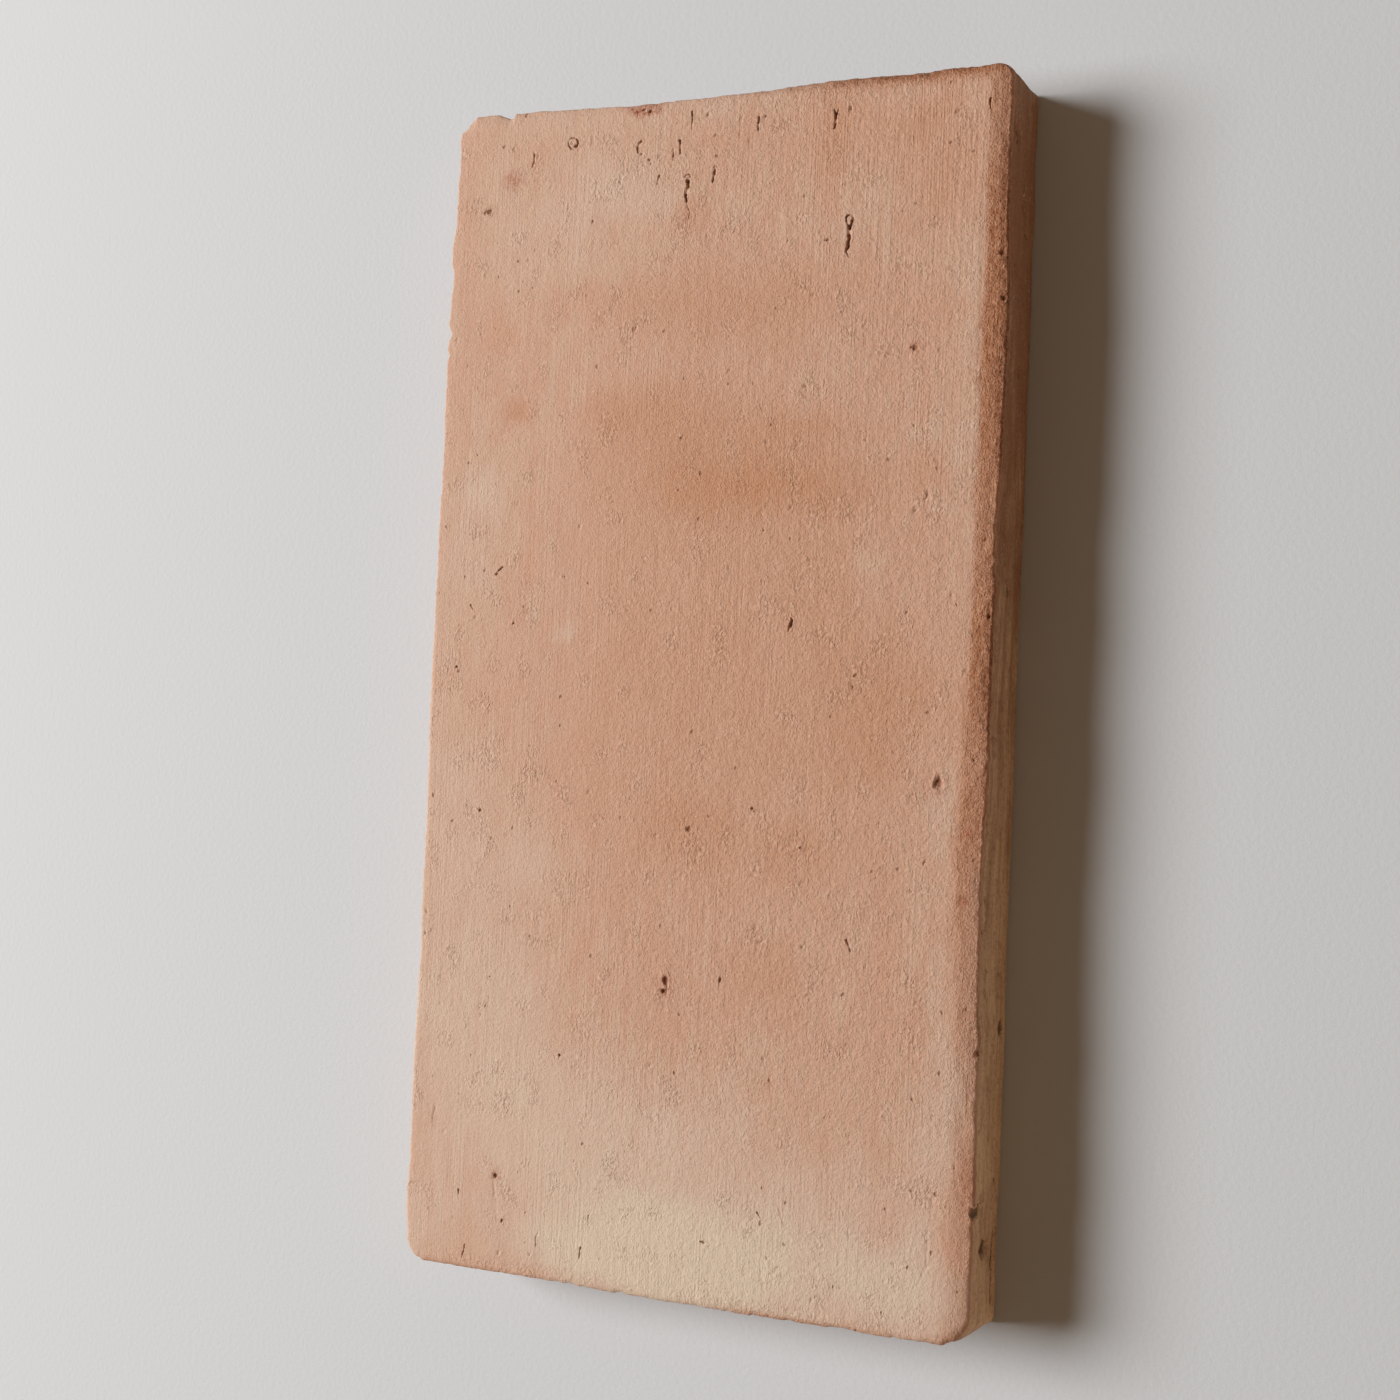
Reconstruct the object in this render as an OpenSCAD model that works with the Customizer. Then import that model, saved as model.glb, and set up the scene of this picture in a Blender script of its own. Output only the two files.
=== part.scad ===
// Handmade terracotta tile: one slab of pressed and fired clay.
//
// Millimetres, +Z up. The tile lies flat on its underside, with its smooth, worn
// face up. The origin is the middle of the underside. X runs across the tile, and
// Y along it, the way the clay was drawn. Left is -X, and far is +Y.

/* [Tile] */
// Width across the tile, side to side
tile_width = 150; // [110:5:300]
// Length of the tile, near end to far end
tile_length = 300; // [200:10:600]
// Thickness, from the underside to the top face
tile_thickness = 26; // [20:1:50]

/* [Worn edges] */
// How far in from the edge the top face starts to roll down
roll_width = 4.5; // [3:0.25:6]
// How far the rolled edge has dropped where it meets the side
roll_drop = 1.0; // [0.4:0.1:1.8]
// Radius of the arris round the underside
foot_radius = 1.5; // [0.5:0.25:3]

/* [Corners, seen from above] */
// Radius of the near left corner
near_left_radius = 7; // [4:0.5:20]
// Radius of the near right corner
near_right_radius = 8.5; // [4:0.5:20]
// Radius of the far right corner
far_right_radius = 5; // [4:0.5:20]
// Radius of the far left corner, before it was chipped
far_left_radius = 5; // [4:0.5:20]

/* [Crooked far edge] */
// Distance from the left side at which the edge starts to fall back
fall_from_left = 17; // [17:1:40]
// Distance from the left side at which it has fallen back furthest
low_from_left = 52; // [45:1:100]
// How far back it is there
low_depth = 2.5; // [0.5:0.1:3]
// How far back it is at the right side
right_depth = 1.6; // [0.3:0.1:3]

/* [Chipped far left corner] */
// Length that the chip takes off each edge, as if the corner were square
corner_chip_leg = 5.6; // [4.6:0.1:8]
// How far down the corner the chip runs out
corner_chip_height = 16; // [10:1:19]

/* [Notch in the far edge] */
// Distance of the notch's middle from the left side
notch_from_left = 13.6; // [13:0.1:14]
// Width of the notch along the edge
notch_width = 4.6; // [3:0.1:6]
// Depth of the notch into the edge
notch_depth = 1.3; // [0.5:0.1:2]

/* [Nick in the left edge] */
// Distance of the nick's middle from the far end
nick_from_far = 57; // [20:1:160]
// Width of the nick along the edge
nick_width = 4.6; // [3:0.1:10]
// Depth of the nick into the edge
nick_depth = 1.2; // [0.5:0.1:2]

/* [Pit in the right side] */
// Distance of the pit's middle from the near end
pit_from_near = 22; // [18:1:80]
// Height of the pit's middle above the underside
pit_height = 15; // [8:1:15]
// Width across the mouth of the pit
pit_width = 4.5; // [2:0.1:7]
// Depth of the pit into the side
pit_depth = 1.4; // [0.5:0.1:2]

/* [Hidden] */
$fn = 96;

right = tile_width / 2;
far = tile_length / 2;
left = -right;
near = -far;

// Middle of each corner's radius, seen from above.
near_left = [left + near_left_radius, near + near_left_radius];
near_right = [right - near_right_radius, near + near_right_radius];
far_right = [right - far_right_radius, far - far_right_radius];
far_left = [left + far_left_radius, far - far_left_radius];

// The roll keeps this share of the tightest corner's radius, so that it always ends
// short of the corner's middle.
widest_roll = 0.95;
tightest_corner = min(near_left_radius, near_right_radius, far_right_radius, far_left_radius);
roll_reach = min(roll_width, widest_roll * tightest_corner);
// The roll is an arc that leaves the top face level and drops by roll_drop.
roll_radius = (pow(roll_reach, 2) + pow(roll_drop, 2)) / (2 * roll_drop);
arris_height = tile_thickness - roll_drop;
// How far the cutting shapes run past the clay.
over = 2;

// Upright section through an edge. Its outer face is on the line x = 0, it reaches
// back by reach, and y is the height above the underside.
module edge_section(reach) {
    difference() {
        translate([-reach, 0])
            square([reach, tile_thickness]);
        translate([-roll_reach, tile_thickness - roll_radius])
            difference() {
                square([roll_reach + over, roll_radius + over]);
                circle(r = roll_radius);
            }
        translate([-foot_radius, -over])
            difference() {
                square([foot_radius + over, foot_radius + over]);
                translate([0, foot_radius + over])
                    circle(r = foot_radius);
            }
    }
}

// One straight edge of that length. It starts at the point start and runs along
// turn, with its outer face on the right.
module edge_strip(start, turn, length) {
    translate([start.x, start.y, 0])
        rotate([0, 0, turn])
            rotate([90, 0, 90])
                linear_extrude(length)
                    mirror([1, 0])
                        edge_section(roll_reach);
}

// One rounded corner: the edge's section, turned a quarter about the corner's middle.
module corner(middle, radius, turn) {
    translate([middle.x, middle.y, 0])
        rotate([0, 0, turn])
            rotate_extrude(angle = 90)
                translate([radius, 0])
                    edge_section(radius);
}

// The flat middle of the slab, out to where the edges and corners take over.
module middle_slab() {
    linear_extrude(tile_thickness)
        polygon([
            [near_left.x, near + roll_reach], [near_right.x, near + roll_reach], near_right,
            [right - roll_reach, near_right.y], [right - roll_reach, far_right.y], far_right,
            [far_right.x, far - roll_reach], [far_left.x, far - roll_reach], far_left,
            [left + roll_reach, far_left.y], [left + roll_reach, near_left.y], near_left
        ]);
}

// The whole slab before it was worn and chipped, counterclockwise from the near edge.
module slab() {
    union() {
        middle_slab();
        edge_strip([near_left.x, near], 0, near_right.x - near_left.x);
        corner(near_right, near_right_radius, 270);
        edge_strip([right, near_right.y], 90, far_right.y - near_right.y);
        corner(far_right, far_right_radius, 0);
        edge_strip([far_right.x, far], 180, far_right.x - far_left.x);
        corner(far_left, far_left_radius, 90);
        edge_strip([left, far_left.y], 270, far_left.y - near_left.y);
        corner(near_left, near_left_radius, 180);
    }
}

// What the crooked far edge lacks: it falls back from the left, then runs out to the
// right side a little less far back.
module far_edge_fall() {
    translate([0, 0, -over])
        linear_extrude(tile_thickness + 2 * over)
            polygon([
                [left + fall_from_left, far],
                [left + low_from_left, far - low_depth],
                [right, far - right_depth],
                [right + over, far - right_depth],
                [right + over, far + over],
                [left + fall_from_left, far + over]
            ]);
}

// What the chip takes off the far left corner: a slanting flake, deepest at the top
// face, which runs out lower down the corner.
module corner_flake() {
    flake_depth = corner_chip_leg / sqrt(2);
    flake_lean = atan2(flake_depth, corner_chip_height);
    block = 2 * tile_thickness;
    translate([left, far, tile_thickness])
        rotate([0, 0, 135])
            translate([-flake_depth, 0, 0])
                rotate([0, -flake_lean, 0])
                    translate([0, -block / 2, -block])
                        cube([block, block, 2 * block]);
}

// A ball that bites into a face by depth, with a mouth of that width. The face is
// square to x, and the clay is on its low side.
module bite(width, depth) {
    ball_radius = (pow(width / 2, 2) + pow(depth, 2)) / (2 * depth);
    translate([ball_radius - depth, 0, 0])
        sphere(r = ball_radius);
}

module far_edge_notch() {
    translate([left + notch_from_left, far, arris_height])
        rotate([0, 0, 90])
            bite(notch_width, notch_depth);
}

module left_edge_nick() {
    translate([left, far - nick_from_far, arris_height])
        rotate([0, 0, 180])
            bite(nick_width, nick_depth);
}

module right_side_pit() {
    translate([right, near + pit_from_near, pit_height])
        bite(pit_width, pit_depth);
}

module tile() {
    color([0.76, 0.58, 0.47])
        difference() {
            slab();
            far_edge_fall();
            corner_flake();
            far_edge_notch();
            left_edge_nick();
            right_side_pit();
        }
}

tile();
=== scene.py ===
"""A handmade terracotta tile, lying on its underside with its smooth, worn face up.

Lengths are millimetres up to the point where a mesh, a lamp or the camera is made.
X runs across the tile and Y along it. Left is -X, far is +Y, and up is +Z.
"""

import itertools
import math
from collections import namedtuple

import bmesh
import bpy
import numpy as np
from mathutils import Matrix, Vector


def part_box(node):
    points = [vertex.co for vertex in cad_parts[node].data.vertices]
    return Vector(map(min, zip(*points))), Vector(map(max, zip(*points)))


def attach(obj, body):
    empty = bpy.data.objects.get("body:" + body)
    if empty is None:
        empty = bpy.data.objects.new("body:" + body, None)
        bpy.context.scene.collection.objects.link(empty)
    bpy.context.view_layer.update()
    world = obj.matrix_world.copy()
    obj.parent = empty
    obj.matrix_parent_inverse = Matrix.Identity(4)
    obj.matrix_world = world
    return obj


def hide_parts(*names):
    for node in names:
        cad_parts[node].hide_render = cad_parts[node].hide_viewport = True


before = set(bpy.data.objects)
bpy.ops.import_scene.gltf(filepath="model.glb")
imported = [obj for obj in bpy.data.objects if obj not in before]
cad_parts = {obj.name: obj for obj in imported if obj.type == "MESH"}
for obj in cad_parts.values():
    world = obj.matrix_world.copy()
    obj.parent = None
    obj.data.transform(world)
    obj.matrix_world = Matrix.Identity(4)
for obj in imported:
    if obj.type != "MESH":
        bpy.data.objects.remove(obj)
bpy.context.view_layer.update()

MM = 0.001
LOW, HIGH = (np.array(corner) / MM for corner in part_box("tile"))
HALF = (HIGH - LOW)[:2] / 2
THICKNESS = (HIGH - LOW)[2]

# Sizes of the mesh's cells. The underside is coarse, and small marks are finest.
COARSE_CELL = 2.5
FACE_CELL = 1.25
EDGE_CELL = 0.62
ARRIS_CELL = 0.31
FINEST_CELL = 0.15

# A layer of noise: its strength, the size of its bumps, and its seed.
Layer = namedtuple("Layer", "strength size seed")
# Where something is found: in places where noise with bumps of that size is above low, and
# fully where it is above high.
Places = namedtuple("Places", "size seed low high")
# What moves points about, so that shapes made from them bend: how far across and along, the
# size of the waves, and the first of their two seeds.
Bend = namedtuple("Bend", "amounts size seed")
# An oval on the face: its middle, size across and along, depth, height or strength, and turn in degrees.
Oval = namedtuple("Oval", "x y across along amount turn", defaults=(0,))
# The middle of a ridge or groove, its width, and its height or depth.
Ridge = namedtuple("Ridge", "middle width height")

# ---- the outline and edges

# How much closer the rows of cells lie at the top and bottom of a side.
ROW_CROWDING = 2.0
# The wear of an edge shifts the clay behind it too, fading out over this distance.
EDGE_REACH = 10.0
# Radius of the arris round the underside.
FOOT_RADIUS = 1.5
# How much of the wear of the face's edges is left at the underside.
FOOT_WEAR = 0.1
# How far the clay stands inside the box on average, so that bumps stay in the box.
SIDE_ALLOWANCE = 0.15
FACE_ALLOWANCE = 0.12
UNDERSIDE_ALLOWANCE = 0.25

# A line of clay was squeezed out along part of the right side's foot, with a groove above it.
FLASH = Ridge(2.0, 0.7, 0.15)
FLASH_GROOVE = Ridge(4.6, 1.2, 0.7)

# The corners' radii round the face, and round the underside where they are squarer.
Corner = namedtuple("Corner", "side radius foot")
CORNERS = [
    Corner((-1, -1), 7.0, 5.5),
    Corner((1, -1), 8.5, 1.5),
    Corner((1, 1), 4.5, 1.2),
    Corner((-1, 1), 7.0, 7.0),
]
# The far left corner lost a flake. The break is a plane this far out from the middle
# of the corner's arc at the top, and it leans out until the arc hides it lower down.
CHIPPED_CORNER = (-1, 1)
CHIP_REACH = 6.3
CHIP_TURN = math.radians(51)
CHIP_LEAN = 0.06
CHIP_ROUGHNESS = Layer(0.25, 2.0, 21)

# How far each edge of the face stands inside the box: (place along the edge, inset).
LEFT_EDGE = [
    (-150, 1.0), (-142, 0.9), (-136, 0.1), (-130, 0.1), (-124, 0.6), (-98, 0.4), (-70, 0.85), (-54, 0.4),
    (-46, 0.65), (-30, 0.5), (-10, 0.1), (45, 0), (62, 0.3), (84.5, 0.4), (86, 0.8), (87.5, 0.4),
    (89.5, 0.4), (91.6, 1.5), (92.8, 1.0), (94.5, 0.3), (103, 0.75), (109, 0.8), (110.5, 0.3), (115, 0.25),
    (121, 0.9), (130, 0.9), (136, 1.2), (141, 1.2), (142.5, 0.9), (146, 1.0),
]
RIGHT_EDGE = [
    (-150, 0.3), (-136, 0.2), (-127, 0), (-122, 0.4), (-118, 0), (-108, 0.2), (-96, 0.6), (-80, 0.5),
    (-72, 1.0), (-45, 1.2), (-30, 1.0), (-15, 0.4), (-8, 0.8), (14, 0.8), (24, 0.2), (28, 0.6), (40, 0.8),
    (48, 0.3), (60, 0.1), (94, 0), (104, 0.3), (114, 0.7), (138, 0.5), (150, 0.5),
]
FAR_EDGE = [
    (-75, 0), (-63.5, 0), (-61.5, 0.8), (-59.4, 1.7), (-58.4, 1.6), (-57.9, 0.3), (-52, 0.6), (-40, 1.1),
    (-24, 1.7), (0, 1.5), (12, 1.5), (24, 0.85), (36, 0.9), (50, 1.2), (60, 1.0), (75, 1.1),
]
NEAR_EDGE = [
    (-75, 0.1), (-42, 0.15), (-34, 0.25), (-28, 0.1), (12, 0.1), (18, 0), (30, 0.3), (44, 0.5), (53, 0.3),
    (62, 0.3), (70, 0), (75, 0),
]
EDGE_RAGGEDNESS = [Layer(0.08, 3.5, 31), Layer(0.16, 1.1, 32)]
# Flakes lost from the near edge, which reach this far in.
NEAR_FLAKE_DEPTH = 0.3
NEAR_FLAKES = Places(2.2, 33, 0.1, 0.7)
NEAR_FLAKE_REACH = (6, 3)

# How the face rolls down to each edge: how far in it starts, how far it drops, and how
# much the slope gathers at the edge.
Roll = namedtuple("Roll", "width drop power")
LEFT_ROLL = Roll(3.0, 0.1, 2.0)
RIGHT_ROLL = Roll(6.8, 1.0, 1.3)
NEAR_ROLL = Roll(2.2, 0.35, 2.0)
FAR_ROLL = Roll(3.5, 0.7, 1.6)
# Over about this distance, one edge's roll turns into the next one's at a corner.
ROLL_BLEND = 2.0
# Every edge further off than this counts the same.
ROLL_LIMIT = 60
ROLL_WIDTH_CHANGE = Layer(0.12, 9, 51)
ROLL_DROP_CHANGE = [Layer(0.3, 22, 52), Layer(0.15, 5, 53)]

# The arris of the face is worn round over this distance: (place along the edge, width).
# It loses this share of that at its sharpest.
RIGHT_ARRIS = [(-150, 0.8), (-60, 0.45), (-40, 0.4), (0, 0.5), (150, 0.5)]
LEFT_ARRIS_WIDTH = 0.25
ARRIS_WIDTH = 0.5
ARRIS_LOSS = 0.4
# How far in from the left and right edges their own width starts and is reached.
ARRIS_BLEND = (12, 4)

# A thin ragged lip was dragged up along the right arris, with a groove beside it.
BURR = Ridge(0.3, 0.3, 0.3)
BURR_PLACES = Places((8, 5), 71, -0.5, 0.5)
GROOVE = Ridge(1.3, 0.5, 0.16)
GROOVE_WANDER = Layer(0.4, 4, 73)
GROOVE_PLACES = Places((8, 3), 74, -0.1, 0.6)
# How much of the lip and the groove there is on average, and how that varies.
RAGGED_SHARE = 0.7
BURR_CHANGE = Layer(0.5, 0.9, 72)
GROOVE_CHANGE = Layer(0.5, 1.2, 75)
# Crumbs of clay stand out of the face along that arris.
CRUMB_REACH = 5.0
CRUMB_HEIGHT = 0.12
CRUMB_PLACES = Places(1.3, 76, -0.2, 0.5)
# How strong they are: (place along the edge, share).
BURR_SHARE = [(-150, 0.2), (-70, 0.3), (-50, 0.7), (-20, 1.0), (130, 1.0), (146, 0.6)]

# ---- the marks on the face

# The unevenness of the hand-smoothed face.
FACE_WAVES = [Layer(0.12, (55, 80), 61), Layer(0.05, (16, 24), 62), Layer(0.018, (5, 8), 63)]

# Pits in the face, with their depths.
PITS = [Oval(*row) for row in [
    # far left
    (-57.5, 139.5, 1.2, 0.9, 0.35, 20), (-64, 123.6, 2.3, 1.6, 0.5, 15), (-57, 103.4, 1.4, 0.8, 0.2, 20),
    (-72, 90.2, 1.1, 0.6, 0.35, 10), (-74.2, 86.2, 0.6, 1.6, 0.35), (-62.9, 80.4, 0.8, 0.7, 0.35),
    (-49.2, 73, 1.3, 0.8, 0.3, -20), (-49, 68, 1.6, 1.1, 0.3, 10), (-20.3, 90.3, 1.3, 1.9, 0.35, 10),
    (-14.9, 73.8, 0.8, 1.4, 0.3, -10), (-7.6, 127, 1.5, 1.3, 0.55), (-40.7, 139.6, 1.0, 0.9, 0.35),
    (-39.5, 138.9, 1.0, 0.9, 0.4), (-26.7, 143.1, 0.8, 0.6, 0.35), (-20.6, 135.1, 1.1, 0.8, 0.35, 20),
    (-19.4, 134.2, 0.8, 0.7, 0.3), (-18.5, 133.4, 1.1, 0.8, 0.4, -30), (-17.8, 132.4, 0.7, 0.7, 0.3),
    (-22.3, 146.1, 1.3, 1.1, 0.4), (-20.5, 146.6, 1.0, 1.2, 0.4), (-18.7, 145.9, 1.3, 1.1, 0.45, 20),
    (-2.9, 143.4, 1.0, 1.3, 0.35, -30),
    # far right
    (12.5, 141.5, 0.8, 1.4, 0.4, -35), (61.3, 138, 2.2, 1.2, 0.3, 15), (67, 142, 1.4, 1, 0.25),
    (30, 109.4, 1.3, 0.6, 0.45, 5), (51.5, 101.6, 0.8, 1.8, 0.3, -15), (26.8, 96.2, 0.9, 1.5, 0.3, -60),
    (52.9, 82, 1.6, 2.1, 0.55, 5), (47, 81, 1.2, 0.8, 0.35, 20), (25.8, 73.8, 1.1, 0.7, 0.35, -30),
    (16.5, 60.4, 1.1, 1.8, 0.35, -20), (24.4, 59.6, 1, 1.8, 0.3, -10), (41.8, 60.4, 0.9, 1.5, 0.35, -10),
    (73, 103.6, 1.4, 1.6, 0.5), (73.8, 92.9, 1.4, 1.6, 0.55),
    # middle, left of the centre
    (-54.7, 26.9, 0.9, 0.8, 0.35), (-36.9, 27.5, 0.8, 0.8, 0.35), (-33.2, 40.3, 1.2, 1.5, 0.25),
    (-57.3, 23.2, 0.8, 1.6, 0.25, -60), (-62.3, 16.9, 0.8, 1.6, 0.25, -50),
    (-50.9, 15.4, 1.1, 0.9, 0.45, 10), (-67.1, 3.9, 0.9, 0.9, 0.5), (-68.6, -2, 0.9, 0.8, 0.35),
    (-58.1, -33, 1.2, 1, 0.5, -20), (0.2, -34.8, 1.5, 1.4, 0.55, 30), (-0.8, -32.3, 0.7, 1.6, 0.35),
    (-8.4, -36.8, 0.8, 1.2, 0.3, -50),
    # middle, right of the centre
    (54.6, 43, 1.4, 1.3, 0.35), (23.5, 44.3, 0.8, 1.5, 0.3, -30), (28.8, 31.4, 1.3, 0.9, 0.35),
    (7.9, 30, 0.8, 2.8, 0.25), (6.3, 9.2, 1, 1.2, 0.35, -20), (52, 11.4, 0.6, 0.6, 0.35),
    (41, 1.1, 0.9, 1, 0.35), (62.7, -20.6, 2.3, 3.4, 0.75, -18), (64.3, 23.2, 0.8, 1.2, 0.3),
    (29.9, -23.8, 0.7, 1.5, 0.35, -55), (16.8, -28.9, 1.1, 1.1, 0.45), (44.2, -42.7, 0.7, 0.6, 0.35),
    (60.2, -39.4, 0.7, 1.5, 0.35, -15), (37.3, -48.7, 0.9, 0.8, 0.35, 30),
    (70.9, -15.3, 1.1, 0.7, 0.35, -20), (68.3, 5.4, 1.5, 1.1, 0.3, 10), (73.2, 18.3, 1.2, 1.6, 0.5),
    (69.2, -48, 1.4, 1.1, 0.2),
    # near left
    (-72.5, -60, 1.1, 1.4, 0.3, 20), (-72.6, -65.7, 0.8, 0.7, 0.35), (-4.1, -72.2, 1.7, 3.0, 0.8, 8),
    (-4.3, -74.9, 2.2, 1.7, 0.9), (-32.2, -93.2, 0.9, 0.8, 0.5), (-53.9, -107.6, 1, 0.7, 0.35),
    (-48.8, -125.3, 1.4, 1.7, 0.5, -10), (-46.3, -136.3, 0.7, 1.3, 0.5, -10), (-38, -143.6, 0.7, 1.2, 0.35),
    (-46.8, -144.5, 1, 1.3, 0.3),
    # near right
    (20.4, -60.9, 1.4, 1, 0.35, 20), (18.9, -58, 1.2, 1.5, 0.25), (30.8, -61.3, 1.3, 1, 0.35, 10),
    (47, -64.5, 0.7, 1.4, 0.25), (10.3, -70.8, 0.8, 1.8, 0.45, -15), (22.4, -88.6, 1.3, 0.9, 0.35),
    (64.3, -126.3, 1, 1.3, 0.3, 20), (21.3, -126.8, 0.8, 0.6, 0.35, 10), (8.8, -134.2, 0.7, 1.7, 0.55, 72),
    (36.8, -143.7, 0.6, 1.6, 0.3, -5), (74.9, -118.8, 2.2, 3.4, 0.8, 10), (74.2, -82.5, 1.4, 2.4, 0.5),
]]
# A pit's outline wobbles, with bumps that are this share of its size and with finer ones.
PIT_WOBBLE = Layer(0.3, 0.55, 81)
PIT_FINE_WOBBLE = Layer(0.15, 0.4, 82)
PIT_FLOOR = Layer(0.3, 0.6, 83)
# From which share of its radius in to which share a pit gets deeper.
PIT_SLOPE = (1.2, 0.1)
# The clay is pushed up into a rim round a pit, in shares of the pit's radius and depth.
RIM = Ridge(1.4, 0.3, 0.12)
# Dirt and painted shade darken a pit or crack as it gets deeper than the first of these.
DIRT_AND_SHADE_DEPTHS = (0.15, 0.55)

# The clay is torn round a pit, further out where the pit is deeper.
TORN_REACH = 4.0
TORN_SHARE = 0.8
TORN_DEPTHS = (0.1, 0.45)
TORN_OUTLINE = Layer(0.5, 1.4, 87)
# Torn clay stands up in ridges of this height, which bend.
TORN_HEIGHT = 0.11
RIDGES = Layer(2, (1.5, 2.6), 90)
RIDGE_BEND = Bend((0.5, 0.5), 1.8, 88)
# Clumps of torn clay without a pit, with how torn they are.
CLUMPS = [Oval(*row) for row in [
    (35.5, 86, 9, 7, 0.8), (46, 82, 7, 6, 0.7), (27, 72, 9, 5, 0.6), (64, 136, 9, 7, 0.6),
    (24, 59, 6, 5, 0.7), (-48, 70, 5, 7, 0.5), (-43, -23, 9, 5, 0.9), (-57, -38, 6, 9, 0.5),
    (2, -40, 8, 12, 0.7), (29, -38, 10, 8, 0.6), (-33, -52, 10, 10, 0.6), (42, 4, 9, 11, 0.6),
    (6, 8, 7, 7, 0.6), (57, 46, 6, 9, 0.7), (56, -10, 7, 10, 0.6), (14, -88, 6, 12, 0.5),
    (-34, 61, 8, 5, 0.5), (-46, 24, 12, 10, 0.4), (20, -60, 9, 8, 0.5), (-56, -108, 10, 6, 0.4),
    (38, -139, 8, 6, 0.5), (-12, 131, 16, 12, 0.4), (30, 145, 60, 6, 0.5), (-52, 132, 16, 12, 0.4),
    (44, -54, 20, 14, 0.4), (30, 28, 16, 12, 0.4), (-25, -84, 16, 12, 0.35), (-38, -147.5, 60, 4, 0.45),
    (32, -147.5, 80, 4, 0.55),
]]
CLUMP_OUTLINE = Layer(0.3, 2.5, 87)
CLUMP_FADE = (1.3, 0.5)

# Cracks and drag slits in the face: the line they follow, their width and depth, and
# the share of the width that they lose by the end of the line.
Slit = namedtuple("Slit", "line width depth taper", defaults=(0.6,))
SLITS = [Slit(*row) for row in [
    ([(34.7, 113.6), (35.2, 112.6), (35.5, 111.8)], 0.55, 0.6, 0),
    ([(36.3, 113.6), (35.9, 112.6), (35.6, 111.8)], 0.55, 0.6, 0),
    ([(35.5, 112.4), (35.5, 109.5), (35.1, 107)], 1.25, 0.8, 0.45),
    ([(35.2, 107.8), (34.8, 106.4), (35.6, 104.8)], 0.6, 0.4), ([(30.6, 141.6), (31, 140.2)], 0.5, 0.5, 0),
    ([(31.7, 141.5), (31.2, 140.2)], 0.5, 0.45, 0.2),
    ([(31.1, 140.6), (30.9, 138.6), (30.5, 136.8)], 0.8, 0.6, 0.5),
    ([(-7.6, 127.2), (-7.5, 125.5), (-8, 123.5), (-7.8, 122)], 1, 0.65, 0.4),
    ([(-7.8, 122.4), (-7.2, 120.6), (-6.4, 119), (-7, 117)], 0.45, 0.35),
    ([(-0.2, 129.2), (-0.6, 127.6), (-0.9, 126)], 0.8, 0.5, 0.5),
    ([(-7.1, 144.7), (-7.2, 142.5), (-7.1, 140)], 0.6, 0.45),
    ([(-10.1, 137.6), (-10.2, 135.8), (-9.8, 134.2)], 0.75, 0.55, 0.5),
    ([(-12, 135.4), (-11.9, 133)], 0.7, 0.35, 0.4),
    ([(-21, 138.3), (-21.9, 137.2), (-21.7, 135.6)], 0.8, 0.5),
    ([(-15.6, 134.5), (-15.5, 132.6)], 0.6, 0.3), ([(10.8, 141.4), (10.8, 138)], 0.6, 0.5),
    ([(6.2, 142), (5.9, 139.5), (6, 136.8)], 0.6, 0.3), ([(-26.3, 130), (-26.1, 126.6)], 0.6, 0.3),
    ([(-15.5, 129), (-15.9, 126.8)], 0.6, 0.4), ([(-51.6, 138.4), (-51.4, 136), (-51.7, 134.4)], 0.6, 0.35),
    ([(-50.4, 137.6), (-50.5, 135.5), (-50.8, 133.2)], 0.6, 0.3), ([(69, 140.2), (69, 137.6)], 0.5, 0.4),
    ([(6.1, 79.1), (5.8, 77.8), (4.4, 77.1)], 0.6, 0.3),
    ([(-56.5, 28.1), (-55.6, 29.4), (-54.9, 30.2)], 0.7, 0.65), ([(-63.8, 20.3), (-63, 19)], 0.5, 0.4),
    ([(25.1, 17), (24.7, 15.5), (24.3, 14.3)], 1, 0.7),
    ([(57.4, 48), (57.8, 46.3), (56.6, 45.2)], 0.8, 0.3), ([(41.9, -58.8), (42.9, -61.4)], 0.6, 0.4),
    ([(45, -127.6), (52, -127.3), (59, -127.5)], 0.35, 0.12),
    ([(-49.3, -127), (-48.4, -130), (-47.7, -136), (-46.2, -141.3)], 0.6, 0.2),
    ([(-59.3, -130.3), (-59.5, -131.8)], 0.5, 0.4), ([(-22.2, -131.9), (-22.5, -133.4)], 0.5, 0.4),
    ([(-23.9, -140), (-24, -141.5), (-24.4, -142.8)], 0.5, 0.5),
    ([(-35.9, -138.2), (-36.7, -139.4), (-36.5, -142)], 0.5, 0.35),
    ([(-56.6, -143.5), (-56.9, -145.5), (-57.3, -147.2)], 0.5, 0.4),
    ([(22.4, -125.4), (23.3, -126.3)], 0.5, 0.4), ([(-67.3, -110), (-67.8, -114.6)], 0.6, 0.2),
    ([(65.5, -116), (64.2, -124), (64.2, -132), (62, -137), (58.5, -138.8)], 0.6, 0.12),
]]
# A slit starts as wide as this times its width.
SLIT_START = 1.1
SLIT_BEND = Bend((0.22, 0.22), 1.7, 84)
SLIT_WOBBLE = Layer(0.3, 1.3, 86)
# Slits and rings are broken: in between their deep places, this share of their depth is left.
BROKEN_SHARE = 0.45
DEEP_PLACES = Places(1.1, 93, -0.55, 0.15)

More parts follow.
